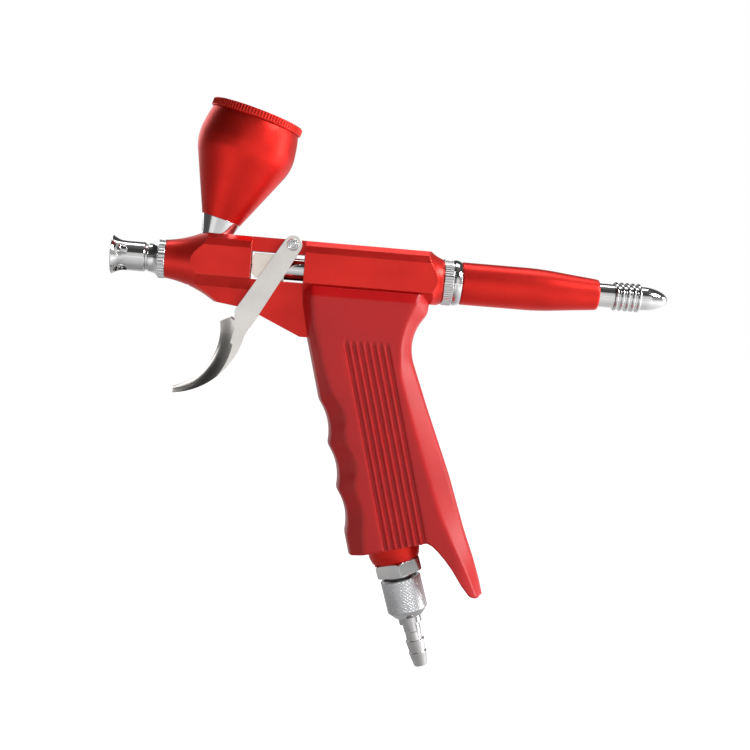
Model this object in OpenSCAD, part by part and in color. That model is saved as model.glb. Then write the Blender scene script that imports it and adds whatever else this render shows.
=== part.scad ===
// Gravity-feed trigger airbrush with a pistol grip and a quick-release hose coupling.
// Frame: the origin is on the needle axis, in the plane of the needle cap's front rim.
// +X runs back along the needle, +Z points up to the paint cup, and Y = 0 is the mid-plane.
// All sizes are in millimetres.

/* [Spray head] */
// Length of the four-hole needle cap
cap_len = 10.1; // [9:0.1:14]
// Diameter of the needle cap's flared rim
cap_rim_d = 11.6; // [10.8:0.1:14]
// Diameter of the needle cap's barrel
cap_barrel_d = 8.8; // [8.4:0.1:9.6]
// Diameter of the four side holes in the needle cap
cap_hole_d = 4.1; // [2:0.1:4.6]
// Length of the air cap behind the needle cap
air_cap_len = 6.1; // [5.6:0.1:8]
// Diameter of the air cap's knurled ring
air_cap_d = 12.1; // [11.6:0.1:14]
// Diameter of the needle
needle_d = 1.2; // [0.8:0.05:1.4]

/* [Body] */
// Diameter of the nose where it meets the air cap
nose_d = 11.5; // [10.8:0.1:12]
// Radius of the nose's concave flare
nose_flare_r = 32; // [26:0.5:42]
// Length from the nose's front face to the window
front_block_len = 25.6; // [24:0.1:32]
// Length of the window that shows the shuttle
window_len = 16; // [15.4:0.1:20]
// Length of the rear block, its rear cone included
rear_block_len = 42.2; // [40:0.1:52]
// Width of the blocks across their side flats
body_w = 15.2; // [14.6:0.1:18]
// Height of the flat top above the needle axis
body_top = 8.8; // [8.5:0.1:10]
// Width of the keel and of the pivot bar, between the trigger's arms
keel_w = 9; // [8.6:0.1:9.4]
// Depth of the keel below the needle axis, at the grip
keel_depth = 20.1; // [19:0.1:24]
// Height of the window above the needle axis
window_top = 4.5; // [4.3:0.1:4.8]
// Depth of the window below the needle axis
window_low = 3.9; // [3.7:0.1:4.4]

/* [Paint cup] */
// Lean of the cup towards the tail, in degrees
cup_lean = 15.2; // [8:0.1:18]
// Height of the cup from the neck to the rim
cup_h = 31.2; // [29:0.1:40]
// Widest diameter of the cup
cup_d = 29.5; // [27:0.1:36]
// Diameter of the cup's rim
cup_rim_d = 26.8; // [25:0.1:27.2]
// Diameter of the cup where it sits on the neck
neck_top_d = 12; // [11:0.1:13]
// Wall of the cup
cup_wall = 1.1; // [0.8:0.05:1.6]
// Thickness of the lid
lid_t = 2.3; // [1.6:0.1:3.5]
// Diameter of the lid
lid_d = 28.2; // [27.8:0.1:31]

/* [Trigger] */
// Pivot, distance behind the front of the window
pivot_back = 12.15; // [11.6:0.05:12.6]
// Pivot, height above the needle axis
pivot_up = 7.2; // [6.6:0.05:7.4]
// Thickness of each trigger arm
arm_t = 1.9; // [1.6:0.1:2.4]
// Width of each arm at the pivot
arm_w = 5.5; // [5:0.1:6]
// Lean of the arms forward from the pivot, in degrees
arm_lean = 30; // [28:0.5:32]
// Full pull of the trigger, in degrees
pull_deg = 20; // [12:0.5:20]
// Radius of the finger pad's front
pad_front_r = 18.2; // [17:0.1:18.6]
// Radius of the finger pad's back
pad_back_r = 22.6; // [22.4:0.1:24]

/* [Needle drive] */
// Diameter of the polished guide tube
guide_d = 6.7; // [6:0.1:6.8]
// Diameter of the bore for spring, retainer and tail
tail_bore_d = 9; // [8.8:0.1:9.4]
// Wire of the needle spring
spring_wire = 0.8; // [0.5:0.05:0.9]
// Turns of the needle spring
spring_turns = 8; // [5:1:12]

/* [Tail] */
// Diameter of the fine-knurled ring
ring_d = 14.2; // [13.6:0.1:16]
// Length of the fine-knurled ring
ring_len = 3.3; // [2.5:0.1:5]
// Length of the polished collar
collar_len = 2.5; // [2:0.1:4]
// Length of the tail handle
handle_len = 42.5; // [41:0.1:56]
// Diameter of the tail handle's straight stretch
handle_d = 13; // [12:0.1:14]
// Diameter of the tail handle's rear end
handle_end_d = 9.4; // [9.2:0.1:11]
// Diameter of the needle-stop rod
stop_rod_d = 7.3; // [5:0.1:7.4]
// Stop rod showing between the handle and the knob
stop_gap = 5; // [4:0.1:8]
// Diameter of the knob's ribs
knob_d = 8.8; // [8:0.1:11]
// Number of ribs on the knob
knob_ribs = 5; // [3:1:8]
// Distance from rib to rib
rib_pitch = 1.75; // [1.4:0.05:2.4]

/* [Grip] */
// Width of the grip
grip_w = 19; // [18.4:0.1:24]
// Number of grooves on each side of the grip
grip_grooves = 7; // [3:1:8]
// Depth of the grip's side grooves
groove_depth = 0.5; // [0.2:0.1:0.8]
// Lean of the front edge and the grooves, in degrees
grip_lean = 15.5; // [12:0.1:17]
// Depth of the grip's front corner below the needle axis
grip_depth = 85.3; // [82:0.1:96]

/* [Air inlet] */
// Lean of the inlet towards the tail, in degrees
inlet_lean = 17.9; // [15:0.1:18.5]
// Outer diameter of the air tube in the grip
air_tube_d = 7; // [6.4:0.1:7.4]
// Diameter of the red ferrule
ferrule_d = 16; // [15:0.1:18]
// Length of the red ferrule, the part inside the grip included
ferrule_len = 5.7; // [5:0.1:7.5]
// Hexagon nut, across its flats
hex_af = 13.8; // [12:0.1:16]
// Height of the hexagon nut
hex_h = 4; // [3.6:0.1:6]
// Diameter of the release sleeve
sleeve_d = 12.6; // [12.2:0.1:14]
// Length of the release sleeve
sleeve_len = 10.1; // [9.6:0.1:14]
// Outer diameter of the hose barb's steps
barb_d = 6; // [5.6:0.1:7.5]
// Diameter of the air hole through the barb
barb_hole_d = 2.5; // [1.5:0.1:3]

/* [Hidden] */
$fn = 64;
EPS = 0.01;
FAR = 200;
// Gap of a running or sliding fit, on the radius
RUN = 0.05;
// Gap between threaded or seated pieces, on the radius
SEAT = 0.03;
// Gap between end faces that stay apart
FACE = 0.05;

// Stations along the needle axis
nose_x = cap_len + air_cap_len;
window_x = nose_x + front_block_len;
rear_x = window_x + window_len;
tail_x = rear_x + rear_block_len;
collar_x = tail_x + ring_len;
handle_x = collar_x + collar_len;
handle_end_x = handle_x + handle_len;
knob_x = handle_end_x + stop_gap;
knob_ribs_end_x = knob_x + knob_ribs * rib_pitch;
knob_point = 8.2;

// Spray head
cap_counterbore_d = 8.4;
cap_counterbore_len = 0.8;
cap_bore_d = 7.2;
cap_hole_x = cap_counterbore_len + cap_hole_d / 2 + 0.1;
cap_hole_turn = 66;
spigot_len = 2.3;
socket_len = 3.6;
socket_d = 8.8;
body_spigot_len = 2.6;
nozzle_tip_x = cap_len - 2.9;
needle_tip_x = nozzle_tip_x - 1;
taper_len = 7.4;
flange_x = nose_x - 4.2;
flange_d = 5.4;
flange_t = 1.2;
seal_t = 0.4;
seal_x = flange_x + flange_t;
stub_end_x = nose_x + 1.8;
stub_d = 3.1;
head_ring_wire = 0.5;
head_ring_x = nose_x - 0.6;
passage_d = 3;

// Body section: half widths and heights of its corners
flat_low = -3.7;
flat_high = 5.2;
bevel_up = 7.3;
bevel_in = 0.8;
crown_in = 3.2;
keel_join = -7.2;
tail_cone_r = 10.25;
tail_end_d = 13.6;
keel_front_x = window_x - 12.2;
keel_front_z = -11.3;
keel_mid_z = -12.9;
keel_back_x = rear_x + 28.2;

// Packing behind the paint passage
packing_d = 4.2;
packing_len = 3;
packing_x = window_x - 6.2;

// Cup axis, through the centre of the neck's top
cup_x = nose_x + 15.55;
cup_z = body_top + 4.4;
neck_cone_len = 5;
neck_slope = 0.34;
neck_foot_len = 2.4;
neck_foot_d = neck_top_d - 2 * neck_slope * neck_cone_len;
neck_spigot_d = 6.8;
neck_spigot_len = 3;
paint_hole_d = 3;
cup_cone_h = cup_h - 12.7;
cup_cone_d = cup_d - 1.7;
cup_mouth_len = 1.9;
mouth_d = cup_rim_d - 2 * 1;
lid_flange_len = 2.2;
lid_flange_t = 1;
lid_seal_wire = 0.8;
vent_d = 1.5;

// Trigger
pivot_x = window_x + pivot_back;
pivot_z = pivot_up;
arm_in = keel_w / 2 + 0.2;
arm_out = arm_in + arm_t;
pivot_pin_d = 2.8;
pivot_thread_d = 2.2;
pivot_thread_len = 2.5;
screw_head_d = 3.7;
screw_head_t = 0.6;
drive_r = pivot_z / cos(arm_lean) - 0.25;
drive_pin_d = 1.8;
drive_pin_in = 2.2;
drive_pin_seat = 0.9;
drive_x = pivot_x - drive_r * sin(arm_lean);
drive_z = pivot_z - drive_r * cos(arm_lean);
drive_end_x = pivot_x - drive_r * sin(arm_lean - pull_deg);
drive_end_z = pivot_z - drive_r * cos(arm_lean - pull_deg);
needle_travel = drive_end_x - drive_x;
pad_c = [pivot_x - 38.1, pivot_z - 27.8];
pad_back_c = [pivot_x - 35, pivot_z - 24.5];
pad_round_r = 7.1;

// Needle drive
shuttle_x = window_x + 0.4;
shuttle_end_x = drive_x + drive_pin_d / 2 + 1.1;
shuttle_top = window_top - 0.5;
shuttle_low = window_low - 0.5;
shuttle_half_w = keel_w / 2 - 0.3;
slot_gap = 0.1;
tab_x = shuttle_end_x - 1.8;
tab_w = 2.2;
groove_gap = 0.2;
needle_hole_d = needle_d + 0.12;
guide_stub_d = 4.4;
guide_stub_len = 0.7;
collar_step_x = rear_x + 5.6;
piston_len = 2.4;
guide_tail_d = 5;
guide_hole_d = 2.8;
retainer_x = rear_x + 30.2;
retainer_end_x = handle_x + 6;
retainer_d = tail_bore_d - 2 * SEAT;
chuck_x = retainer_end_x + 0.6;
chuck_d = 7.8;
chuck_len = 9.4;
chuck_thread_d = 4.6;
chuck_thread_len = 4;
needle_end_x = chuck_x + 21.5;
stop_x = needle_end_x + needle_travel + 0.8;
chuck_room = needle_travel + 6;

// Air valve, under the guide tube
valve_z = -9.2;
chamber_d = 6;
chamber_x = rear_x + 1.2;
seat_len = 5;
seat_hole_d = 3.8;
stem_d = 2.4;
stem_x = shuttle_end_x + FACE;
stem_hole_d = stem_d + 2 * RUN;
valve_head_d = 5;
valve_head_len = 1.4;
valve_seal_t = 0.6;
valve_seal_x = chamber_x + seat_len;
valve_head_x = valve_seal_x + valve_seal_t;
valve_spring_wire = 0.5;
valve_plug_x = chamber_x + 20;
valve_plug_len = 6;
gallery_d = 1.6;
gallery_y = 2.9;
gallery_z = -6;
gallery_front_x = nose_x + 13.8;
gallery_back_x = chamber_x + 3;
port_y = 1.6;
port_z = -3.2;
port_d = 1.2;

// Grip outline, on the front edge's lean
grip_top = -4.4;
grip_front_x = rear_x - 0.3;
scallops = 3;
scallop_pitch = 13.8;
scallop_r = 17.4;
scallop_depth = 1.4;
grip_corner_x = grip_front_x + 2.7 + (grip_depth - keel_depth) * tan(grip_lean);
front_bevel = 5.2;
front_thin = 4.6;
rear_bevel = 5.6;
rear_thin = 5;
hollow_x = rear_x + 48.7;
hollow_z = -20.3;
hollow_r = 14.1;
hollow_bevel = 3.5;
groove_pitch = 2.05;
groove_w = 1;
groove_top = -20;
cavity_gap = 0.1;

// Inlet axis: its stations count from a datum just below the grip's bottom face
bottom_rise = 6.1;
bottom_run = 23.6;
inlet_back = 14;
inlet_drop = 1.7;
inlet_x = grip_corner_x + inlet_back;
inlet_z = -grip_depth + bottom_rise * inlet_back / bottom_run - inlet_drop;
inlet_cos = cos(inlet_lean);
inlet_sin = sin(inlet_lean);
tube_top_s = -(-inlet_z - 15) / inlet_cos;
chamber_s = -(-inlet_z + valve_z) / inlet_cos;
tube_hole_d = 4;
port_hole_d = 3.6;
ferrule_s = -0.7 - inlet_drop;
hex_s = ferrule_s + ferrule_len;
hex_end_s = hex_s + hex_h;
tube_end_s = hex_s + 2;
plug_neck_d = 7.8;
plug_nose_d = 6.8;
plug_groove_d = 5.8;
plug_hole_d = 3;
plug_stub_d = 5.2;
plug_groove_s = hex_end_s + 3.2;
plug_groove_w = 1.9;
plug_end_s = hex_end_s + 9.7;
sleeve_s = hex_end_s + 1.6;
sleeve_end_s = sleeve_s + sleeve_len;
cap_bevel_len = 2.2;
cap_end_d = 8.8;
socket_s = sleeve_s + 0.7;
flange_s = socket_s + 7;
flange_ring_d = sleeve_d - 1.8;
flange_ring_t = 0.8;
coupler_d = 9.4;
coupler_neck_d = 7.2;
coupler_end_s = sleeve_end_s + 4.3;
ball_d = 1.7;
ball_s = plug_groove_s + plug_groove_w / 2;
ball_pcd = 7.7;
ball_count = 4;
relief_len = 1.6;
sleeve_travel = 1.5;
sleeve_step_s = sleeve_s + 4.1;
sleeve_bore_d = coupler_d + 2 * RUN;
sleeve_room_d = flange_ring_d + 0.2;
sleeve_spring_wire = 0.6;
seal_ring_wire = 0.8;
seal_ring_s = plug_groove_s + 4.2;
barb_stub_d = 4.6;
barb_stub_len = 3;
barb_neck_len = 5.5;
barb_step_len = 3.9;
barb_point_len = 4.5;

// ---------- helpers ----------

// Solid of revolution about the needle axis, from [radius, x] points
module lathe(points) {
    rotate([0, 90, 0]) rotate_extrude() polygon(points);
}

// Plain rod along X
module rod(d, x0, x1) {
    translate([x0, 0, 0]) rotate([0, 90, 0]) cylinder(d = d, h = x1 - x0);
}

// Tube along X
module pipe(d_out, d_in, x0, x1) {
    difference() {
        rod(d_out, x0, x1);
        rod(d_in, x0 - 1, x1 + 1);
    }
}

// Round ring of wire about the X axis
module wire_ring(d_mid, wire, x) {
    translate([x, 0, 0]) rotate([0, 90, 0]) rotate_extrude() translate([d_mid / 2, 0]) circle(d = wire);
}

// Round bar from one point to another
module bar(d, from, to) {
    v = to - from;
    translate(from) rotate([0, acos(v[2] / norm(v)), atan2(v[1], v[0])]) cylinder(d = d, h = norm(v));
}

// Coil spring along +X: mean diameter, wire, length, turns
module coil(d_mid, wire, len, turns) {
    steps = 14;
    sides = 7;
    rings = turns * steps;
    function ring_point(i, k) =
        let (turn = 360 * i / steps, lap = 360 * k / sides)
        let (r = d_mid / 2 + wire / 2 * cos(lap))
        [
            wire / 2 + (len - wire) * i / rings + wire / 2 * sin(lap),
            r * cos(turn),
            r * sin(turn)
        ];
    points = [for (i = [0:rings]) for (k = [0:sides - 1]) ring_point(i, k)];
    walls = [for (i = [0:rings - 1]) for (k = [0:sides - 1])
        let (a = i * sides + k, b = i * sides + (k + 1) % sides)
        each [[a, a + sides, b], [b, a + sides, b + sides]]];
    first = [[for (k = [0:sides - 1]) k]];
    last = [[for (k = [sides - 1:-1:0]) rings * sides + k]];
    polyhedron(points = points, faces = concat(walls, first, last));
}

// Places +Z along the cup's axis, from the top of the neck
module on_cup_axis() {
    translate([cup_x, 0, cup_z]) rotate([0, cup_lean, 0]) children();
}

// Places +Z down the inlet's axis, from the grip's bottom face
module on_inlet_axis() {
    translate([inlet_x, 0, inlet_z]) rotate([0, 180 - inlet_lean, 0]) children();
}

// Places the X axis of its children down the inlet's axis
module along_inlet() {
    on_inlet_axis() rotate([0, -90, 0]) children();
}

// Upright side outline in X and Z, given a thickness across Y
module side_plate(y0, y1) {
    translate([0, y1, 0]) rotate([90, 0, 0]) linear_extrude(y1 - y0) children();
}

// ---------- spray head ----------

module needle_cap() {
    rim = cap_rim_d / 2;
    barrel = cap_barrel_d / 2;
    color("silver") difference() {
        lathe([
            [0, 0], [rim - 0.15, 0], [rim, 0.2], [rim - 0.5, 1], [barrel + 0.35, 2],
            [barrel + 0.1, 3], [barrel, 4.2], [barrel, cap_len - 0.2], [barrel - 0.2, cap_len], [0, cap_len]
        ]);
        rod(cap_counterbore_d, -1, cap_counterbore_len);
        rod(cap_bore_d, 0, cap_len + 1);
        for (turn = [0, 90])
            translate([cap_hole_x, 0, 0]) rotate([cap_hole_turn + turn, 0, 0])
                cylinder(d = cap_hole_d, h = cap_rim_d * 2, center = true);
    }
}

module nozzle_cap() {
    ring = air_cap_d / 2;
    ring_x = nose_x - 2.1;
    spigot = cap_bore_d / 2 - SEAT;
    color("silver") difference() {
        lathe([
            [0, cap_len - spigot_len], [spigot, cap_len - spigot_len], [spigot, cap_len + FACE],
            [3.9, cap_len + FACE], [3.9, cap_len + 0.8], [4.25, cap_len + 1], [4.45, ring_x - 1.8],
            [4.8, ring_x - 1.1], [5.2, ring_x - 0.4], [ring, ring_x], [ring, nose_x - 0.15],
            [ring - 0.1, nose_x - FACE], [0, nose_x - FACE]
        ]);
        lathe([
            [0, 0], [1.3, 0], [1.3, cap_len - 1], [flange_d / 2 + 0.6, flange_x - 0.3],
            [flange_d / 2 + 0.6, nose_x - socket_len], [0, nose_x - socket_len]
        ]);
        rod(socket_d, nose_x - socket_len, nose_x + 1);
    }
}

// The bore follows the needle's taper, a running gap away from it
module fluid_nozzle() {
    bore_tip = 0.16;
    color("gold") difference() {
        lathe([
            [0, nozzle_tip_x], [0.7, nozzle_tip_x], [1.7, flange_x - 0.4], [flange_d / 2, flange_x],
            [flange_d / 2, seal_x], [stub_d / 2, seal_x], [stub_d / 2, stub_end_x], [0, stub_end_x]
        ]);
        lathe([
            [0, nozzle_tip_x - 1], [bore_tip, nozzle_tip_x - 1], [bore_tip, nozzle_tip_x],
            [needle_d / 2 + 0.15, needle_tip_x + taper_len], [needle_d / 2 + 0.15, stub_end_x + 1],
            [0, stub_end_x + 1]
        ]);
    }
}

module nozzle_seal() {
    color("white") pipe(flange_d - 0.2, stub_d + 2 * SEAT, seal_x, seal_x + seal_t);
}

module head_ring() {
    color("dimgray") wire_ring(socket_d - 2 * SEAT - head_ring_wire, head_ring_wire, head_ring_x);
}

// ---------- body ----------

// Cross-section of the blocks, looking along the needle: y across, z up
module block_section(low, low_half) {
    w = body_w / 2;
    right = [
        [low_half, low], [keel_w / 2, keel_join], [w, flat_low], [w, flat_high],
        [w - bevel_in, bevel_up], [w - crown_in, body_top]
    ];
    left = [for (i = [len(right) - 1:-1:0]) [-right[i][0], right[i][1]]];
    polygon(concat(right, left));
}

module block(x0, x1, low) {
    translate([x0, 0, 0]) rotate([90, 0, 90]) linear_extrude(x1 - x0) block_section(low, keel_w / 2);
}

// Flared nose: the concave arc starts at the air cap and widens past the block's corners
module nose_flare() {
    start = nose_d / 2;
    rise = 31.8 / 32 * nose_flare_r;
    run = sqrt(nose_flare_r * nose_flare_r - rise * rise);
    wide = 24;
    rotate([0, 90, 0]) rotate_extrude() difference() {
        polygon([[0, nose_x], [start, nose_x], [wide, nose_x], [wide, window_x], [0, window_x]]);
        translate([start + rise, nose_x - run]) circle(r = nose_flare_r, $fn = 180);
    }
}

module tail_cone() {
    rotate([0, 90, 0]) rotate_extrude() difference() {
        polygon([[0, nose_x], [24, nose_x], [24, tail_x], [0, tail_x]]);
        translate([tail_end_d / 2 + 9.85, tail_x + 2.84]) circle(r = tail_cone_r, $fn = 120);
        polygon([[tail_end_d / 2, tail_x - 0.4], [30, tail_x - 0.4], [30, tail_x + 1], [tail_end_d / 2, tail_x + 1]]);
    }
}

module keel() {
    side_plate(-keel_w / 2, keel_w / 2) polygon([
        [keel_front_x - 6, 0], [keel_front_x - 6, keel_front_z], [keel_front_x, keel_front_z],
        [window_x, keel_mid_z], [rear_x + 0.2, -keel_depth], [keel_back_x, -keel_depth],
        [keel_back_x, -window_low], [window_x + EPS, -window_low], [window_x + EPS, 0]
    ]);
}

module body_outside() {
    intersection() {
        union() {
            block(nose_x, window_x, keel_join - EPS);
            intersection() {
                keel();
                translate([0, -FAR / 2, -FAR / 2]) cube([window_x, FAR, FAR]);
            }
        }
        nose_flare();
    }
    difference() {
        keel();
        translate([-EPS, -FAR / 2, -FAR / 2]) cube([window_x, FAR, FAR]);
        translate([0, -FAR / 2, -window_low]) cube([rear_x, FAR, FAR]);
    }
    // Bar that carries the trigger's pivot
    translate([window_x - EPS, -keel_w / 2, window_top])
        cube([window_len + 2 * EPS, keel_w, body_top - window_top]);
    intersection() {
        block(rear_x, tail_x, keel_join - EPS);
        tail_cone();
    }
}

// Thread spigot for the air cap
module body_spigot() {
    rod(socket_d - 2 * SEAT, nose_x - body_spigot_len, nose_x + 1);
}

module air_gallery() {
    bar(port_d, [nose_x - body_spigot_len - 0.4, port_y, port_z], [gallery_front_x, gallery_y, gallery_z]);
    bar(gallery_d, [gallery_front_x - 0.5, gallery_y, gallery_z], [gallery_back_x + 0.6, gallery_y, gallery_z]);
    bar(gallery_d, [gallery_back_x, gallery_y, gallery_z], [gallery_back_x, 0, valve_z]);
}

module body_bores() {
    rod(stub_d + 2 * SEAT, nose_x - 4, stub_end_x);
    rod(passage_d, stub_end_x - EPS, packing_x);
    rod(packing_d, packing_x - EPS, window_x + 1);
    rod(guide_d + 2 * RUN, rear_x - 1, collar_step_x + EPS);
    rod(tail_bore_d, collar_step_x, tail_x + 1);
    for (side = [-1, 1])
        translate([pivot_x, 0, pivot_z]) rotate([-90 * side, 0, 0])
            translate([0, 0, keel_w / 2 - pivot_thread_len]) cylinder(d = pivot_thread_d, h = pivot_thread_len + 1);
    // Air valve and its ways in and out
    translate([0, 0, valve_z]) {
        rod(stem_hole_d, rear_x - 1, chamber_x + 1);
        rod(chamber_d, chamber_x, keel_back_x + 1);
    }
    translate([tab_x - 1, -tab_w / 2 - groove_gap, valve_z - stem_d / 2 - 0.3])
        cube([rear_x - tab_x + 1, tab_w + 2 * groove_gap, FAR / 10]);
    air_gallery();
    on_inlet_axis() {
        translate([0, 0, tube_top_s]) cylinder(d = air_tube_d + 2 * SEAT, h = 30);
        translate([0, 0, chamber_s]) cylinder(d = port_hole_d, h = tube_top_s - chamber_s + 1);
    }
}

// Seat for the cup's neck, and the paint hole down to the needle
module cup_bores() {
    on_cup_axis() {
        neck_outside(SEAT);
        translate([0, 0, -neck_cone_len - 12]) cylinder(d = paint_hole_d, h = 10);
    }
}

module head_ring_groove() {
    pipe(socket_d + 1, socket_d - 2 * head_ring_wire - 2 * SEAT - 0.05,
        head_ring_x - head_ring_wire * 0.6, head_ring_x + head_ring_wire * 0.6);
}

module body() {
    color("red") difference() {
        union() {
            body_outside();
            body_spigot();
        }
        body_bores();
        cup_bores();
        head_ring_groove();
    }
}

module needle() {
    color("lightgray") lathe([
        [0, needle_tip_x], [needle_d / 2, needle_tip_x + taper_len], [needle_d / 2, needle_end_x], [0, needle_end_x]
    ]);
}

module needle_packing() {
    color("white") pipe(packing_d - 2 * SEAT, needle_d + 2 * RUN, packing_x, packing_x + packing_len);
}

module packing_screw() {
    color("gold") difference() {
        pipe(packing_d - 2 * SEAT, needle_hole_d, packing_x + packing_len, window_x - 0.1);
        translate([window_x - 0.8, -0.4, -packing_d]) cube([2, 0.8, 2 * packing_d]);
    }
}

// ---------- paint cup ----------

// Cone and foot of the neck, grown on the radius by a gap
module neck_outside(grow) {
    rotate_extrude() polygon([
        [0, -neck_cone_len - neck_foot_len], [neck_foot_d / 2 + grow, -neck_cone_len - neck_foot_len],
        [neck_foot_d / 2 + grow, -neck_cone_len], [neck_top_d / 2 + grow, 0], [0, 0]
    ]);
}

module cup_neck() {
    color("silver") on_cup_axis() difference() {
        union() {
            neck_outside(0);
            cylinder(d = neck_spigot_d, h = neck_spigot_len);
        }
        translate([0, 0, -neck_cone_len - neck_foot_len - 1]) cylinder(d = paint_hole_d, h = 20);
    }
}

// Outline of the cup: straight cone, round shoulder and rim
module cup_outline(inset) {
    cone_r = cup_cone_d / 2;
    max_r = cup_d / 2;
    rim_r = cup_rim_d / 2;
    polygon([
        [0, 0], [neck_top_d / 2 - inset, 0], [cone_r - inset, cup_cone_h], [cone_r + 0.5 - inset, cup_cone_h + 1.6],
        [max_r - 0.1 - inset, cup_cone_h + 3.2], [max_r - inset, cup_cone_h + 4.8],
        [max_r - 0.1 - inset, cup_cone_h + 6.6], [max_r - 0.45 - inset, cup_cone_h + 8.6],
        [rim_r + 0.55 - inset, cup_cone_h + 10.7], [rim_r - inset, cup_h], [0, cup_h]
    ]);
}

module cup() {
    floor_h = neck_spigot_len + 1;
    color("red") on_cup_axis() difference() {
        rotate_extrude() cup_outline(0);
        rotate_extrude() intersection() {
            cup_outline(cup_wall);
            polygon([[0, floor_h], [paint_hole_d / 2, floor_h], [FAR, floor_h + FAR / 4], [FAR, FAR], [0, FAR]]);
        }
        translate([0, 0, cup_h - cup_mouth_len]) cylinder(d = mouth_d, h = cup_mouth_len + 1);
        translate([0, 0, -1]) cylinder(d = neck_spigot_d + 2 * SEAT, h = neck_spigot_len + 1);
        cylinder(d = paint_hole_d, h = floor_h + 1);
    }
}

module cup_lid() {
    flange = mouth_d / 2 - 0.15;
    edge = 0.35;
    color("red") on_cup_axis() translate([0, 0, cup_h + FACE]) difference() {
        rotate_extrude() polygon([
            [0, 0], [flange - lid_flange_t, 0], [flange - lid_flange_t, -lid_flange_len],
            [flange, -lid_flange_len], [flange, 0], [lid_d / 2 - edge, 0], [lid_d / 2, edge],
            [lid_d / 2, lid_t - edge], [lid_d / 2 - edge, lid_t], [0, lid_t]
        ]);
        translate([0, 0, -1]) cylinder(d = vent_d, h = lid_t + 2);
        translate([0, 0, -cup_mouth_len / 2]) rotate_extrude() translate([mouth_d / 2 - lid_seal_wire / 2, 0])
            square([lid_seal_wire + 0.1, lid_seal_wire + 0.1], center = true);
    }
}

module lid_seal() {
    color("dimgray") on_cup_axis() translate([0, 0, cup_h + FACE - cup_mouth_len / 2])
        rotate_extrude() translate([mouth_d / 2 - lid_seal_wire / 2 - 0.02, 0]) circle(d = lid_seal_wire - 0.04);
}

// ---------- trigger ----------

// Side outline of one arm: round eye at the pivot, widening down to the pad
module arm_outline() {
    at = [pivot_x, pivot_z];
    along = [-sin(arm_lean), -cos(arm_lean)];
    across = [cos(arm_lean), -sin(arm_lean)];
    low = 25.8;
    translate(at) circle(d = arm_w);
    polygon([
        at - across * arm_w / 2,
        at + along * low - across * 3.3,
        at + along * (low + 4.5) - across * 0.5,
        at + along * (low + 9) + across * 1.1,
        at + along * (low + 9) + across * 3.5,
        at + along * (low + 3) + across * 3.2,
        at + along * (low - 2) + across * 3.4,
        at + across * arm_w / 2
    ]);
}

// Curved finger pad: rounded across the front, flat arc at the back
module pad() {
    intersection() {
        side_plate(-arm_out, arm_out) intersection() {
            translate(pad_back_c) circle(r = pad_back_r, $fn = 120);
            polygon([
                pad_c + [5, -3], pad_c + [21.2, 4.8], pad_c + [26.3, 1.2], pad_c + [34, -4],
                pad_c + [34, -30], pad_c + [5.6, -30]
            ]);
        }
        translate([pad_c[0], 0, pad_c[1]]) rotate([90, 0, 0]) rotate_extrude($fn = 120) {
            translate([pad_front_r + pad_round_r, 0]) circle(r = pad_round_r);
            translate([pad_front_r + pad_round_r, -pad_round_r]) square([8, 2 * pad_round_r]);
        }
    }
}

module trigger() {
    color("silver") difference() {
        union() {
            side_plate(-arm_out, -arm_in) arm_outline();
            side_plate(arm_in, arm_out) arm_outline();
            pad();
        }
        translate([pivot_x, 0, pivot_z]) rotate([90, 0, 0])
            cylinder(d = pivot_pin_d + 2 * RUN, h = 4 * arm_out, center = true);
        translate([drive_x, 0, drive_z]) rotate([90, 0, 0])
            cylinder(d = drive_pin_d + 2 * SEAT, h = 2 * (arm_in + drive_pin_seat), center = true);
    }
}

module pivot_screws() {
    color("silver") for (side = [-1, 1])
        translate([pivot_x, 0, pivot_z]) rotate([-90 * side, 0, 0]) difference() {
            union() {
                translate([0, 0, keel_w / 2 - pivot_thread_len + 0.1])
                    cylinder(d = pivot_thread_d - 2 * SEAT, h = pivot_thread_len);
                translate([0, 0, keel_w / 2]) cylinder(d = pivot_pin_d, h = arm_out - keel_w / 2 + RUN);
                translate([0, 0, arm_out + RUN]) cylinder(d = screw_head_d, h = screw_head_t);
            }
            translate([0, 0, arm_out]) cylinder(d = screw_head_d / 2, h = screw_head_t + 1, $fn = 6);
        }
}

module drive_pins() {
    color("silver") for (side = [-1, 1])
        translate([drive_x, 0, drive_z]) rotate([-90 * side, 0, 0]) translate([0, 0, drive_pin_in])
            cylinder(d = drive_pin_d, h = arm_in + drive_pin_seat - drive_pin_in - SEAT);
}

// ---------- needle drive ----------

module needle_shuttle() {
    slot_w = drive_pin_d + 2 * slot_gap;
    slot_low = drive_end_z - drive_pin_d / 2 - 0.5;
    slot_high = drive_z + drive_pin_d / 2 + 0.5;
    color("silver") difference() {
        union() {
            side_plate(-shuttle_half_w, shuttle_half_w) polygon([
                [shuttle_x, shuttle_top - 1.1], [shuttle_x + 0.7, shuttle_top], [shuttle_end_x, shuttle_top],
                [shuttle_end_x, -shuttle_low], [shuttle_x + 1.2, -shuttle_low], [shuttle_x, -shuttle_low + 1.4]
            ]);
            // Tab that pushes the valve stem
            translate([tab_x, -tab_w / 2, valve_z - stem_d / 2])
                cube([shuttle_end_x - tab_x, tab_w, -valve_z]);
        }
        rod(needle_hole_d, 0, FAR);
        rod(guide_stub_d + 2 * SEAT, shuttle_end_x - guide_stub_len, shuttle_end_x + 1);
        for (side = [-1, 1])
            translate([drive_x - slot_w / 2, side * (shuttle_half_w + drive_pin_in) / 2
                - (shuttle_half_w - drive_pin_in + 0.4) / 2 + side * 0.1, slot_low])
                cube([slot_w, shuttle_half_w - drive_pin_in + 0.4, slot_high - slot_low]);
    }
}

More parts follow.
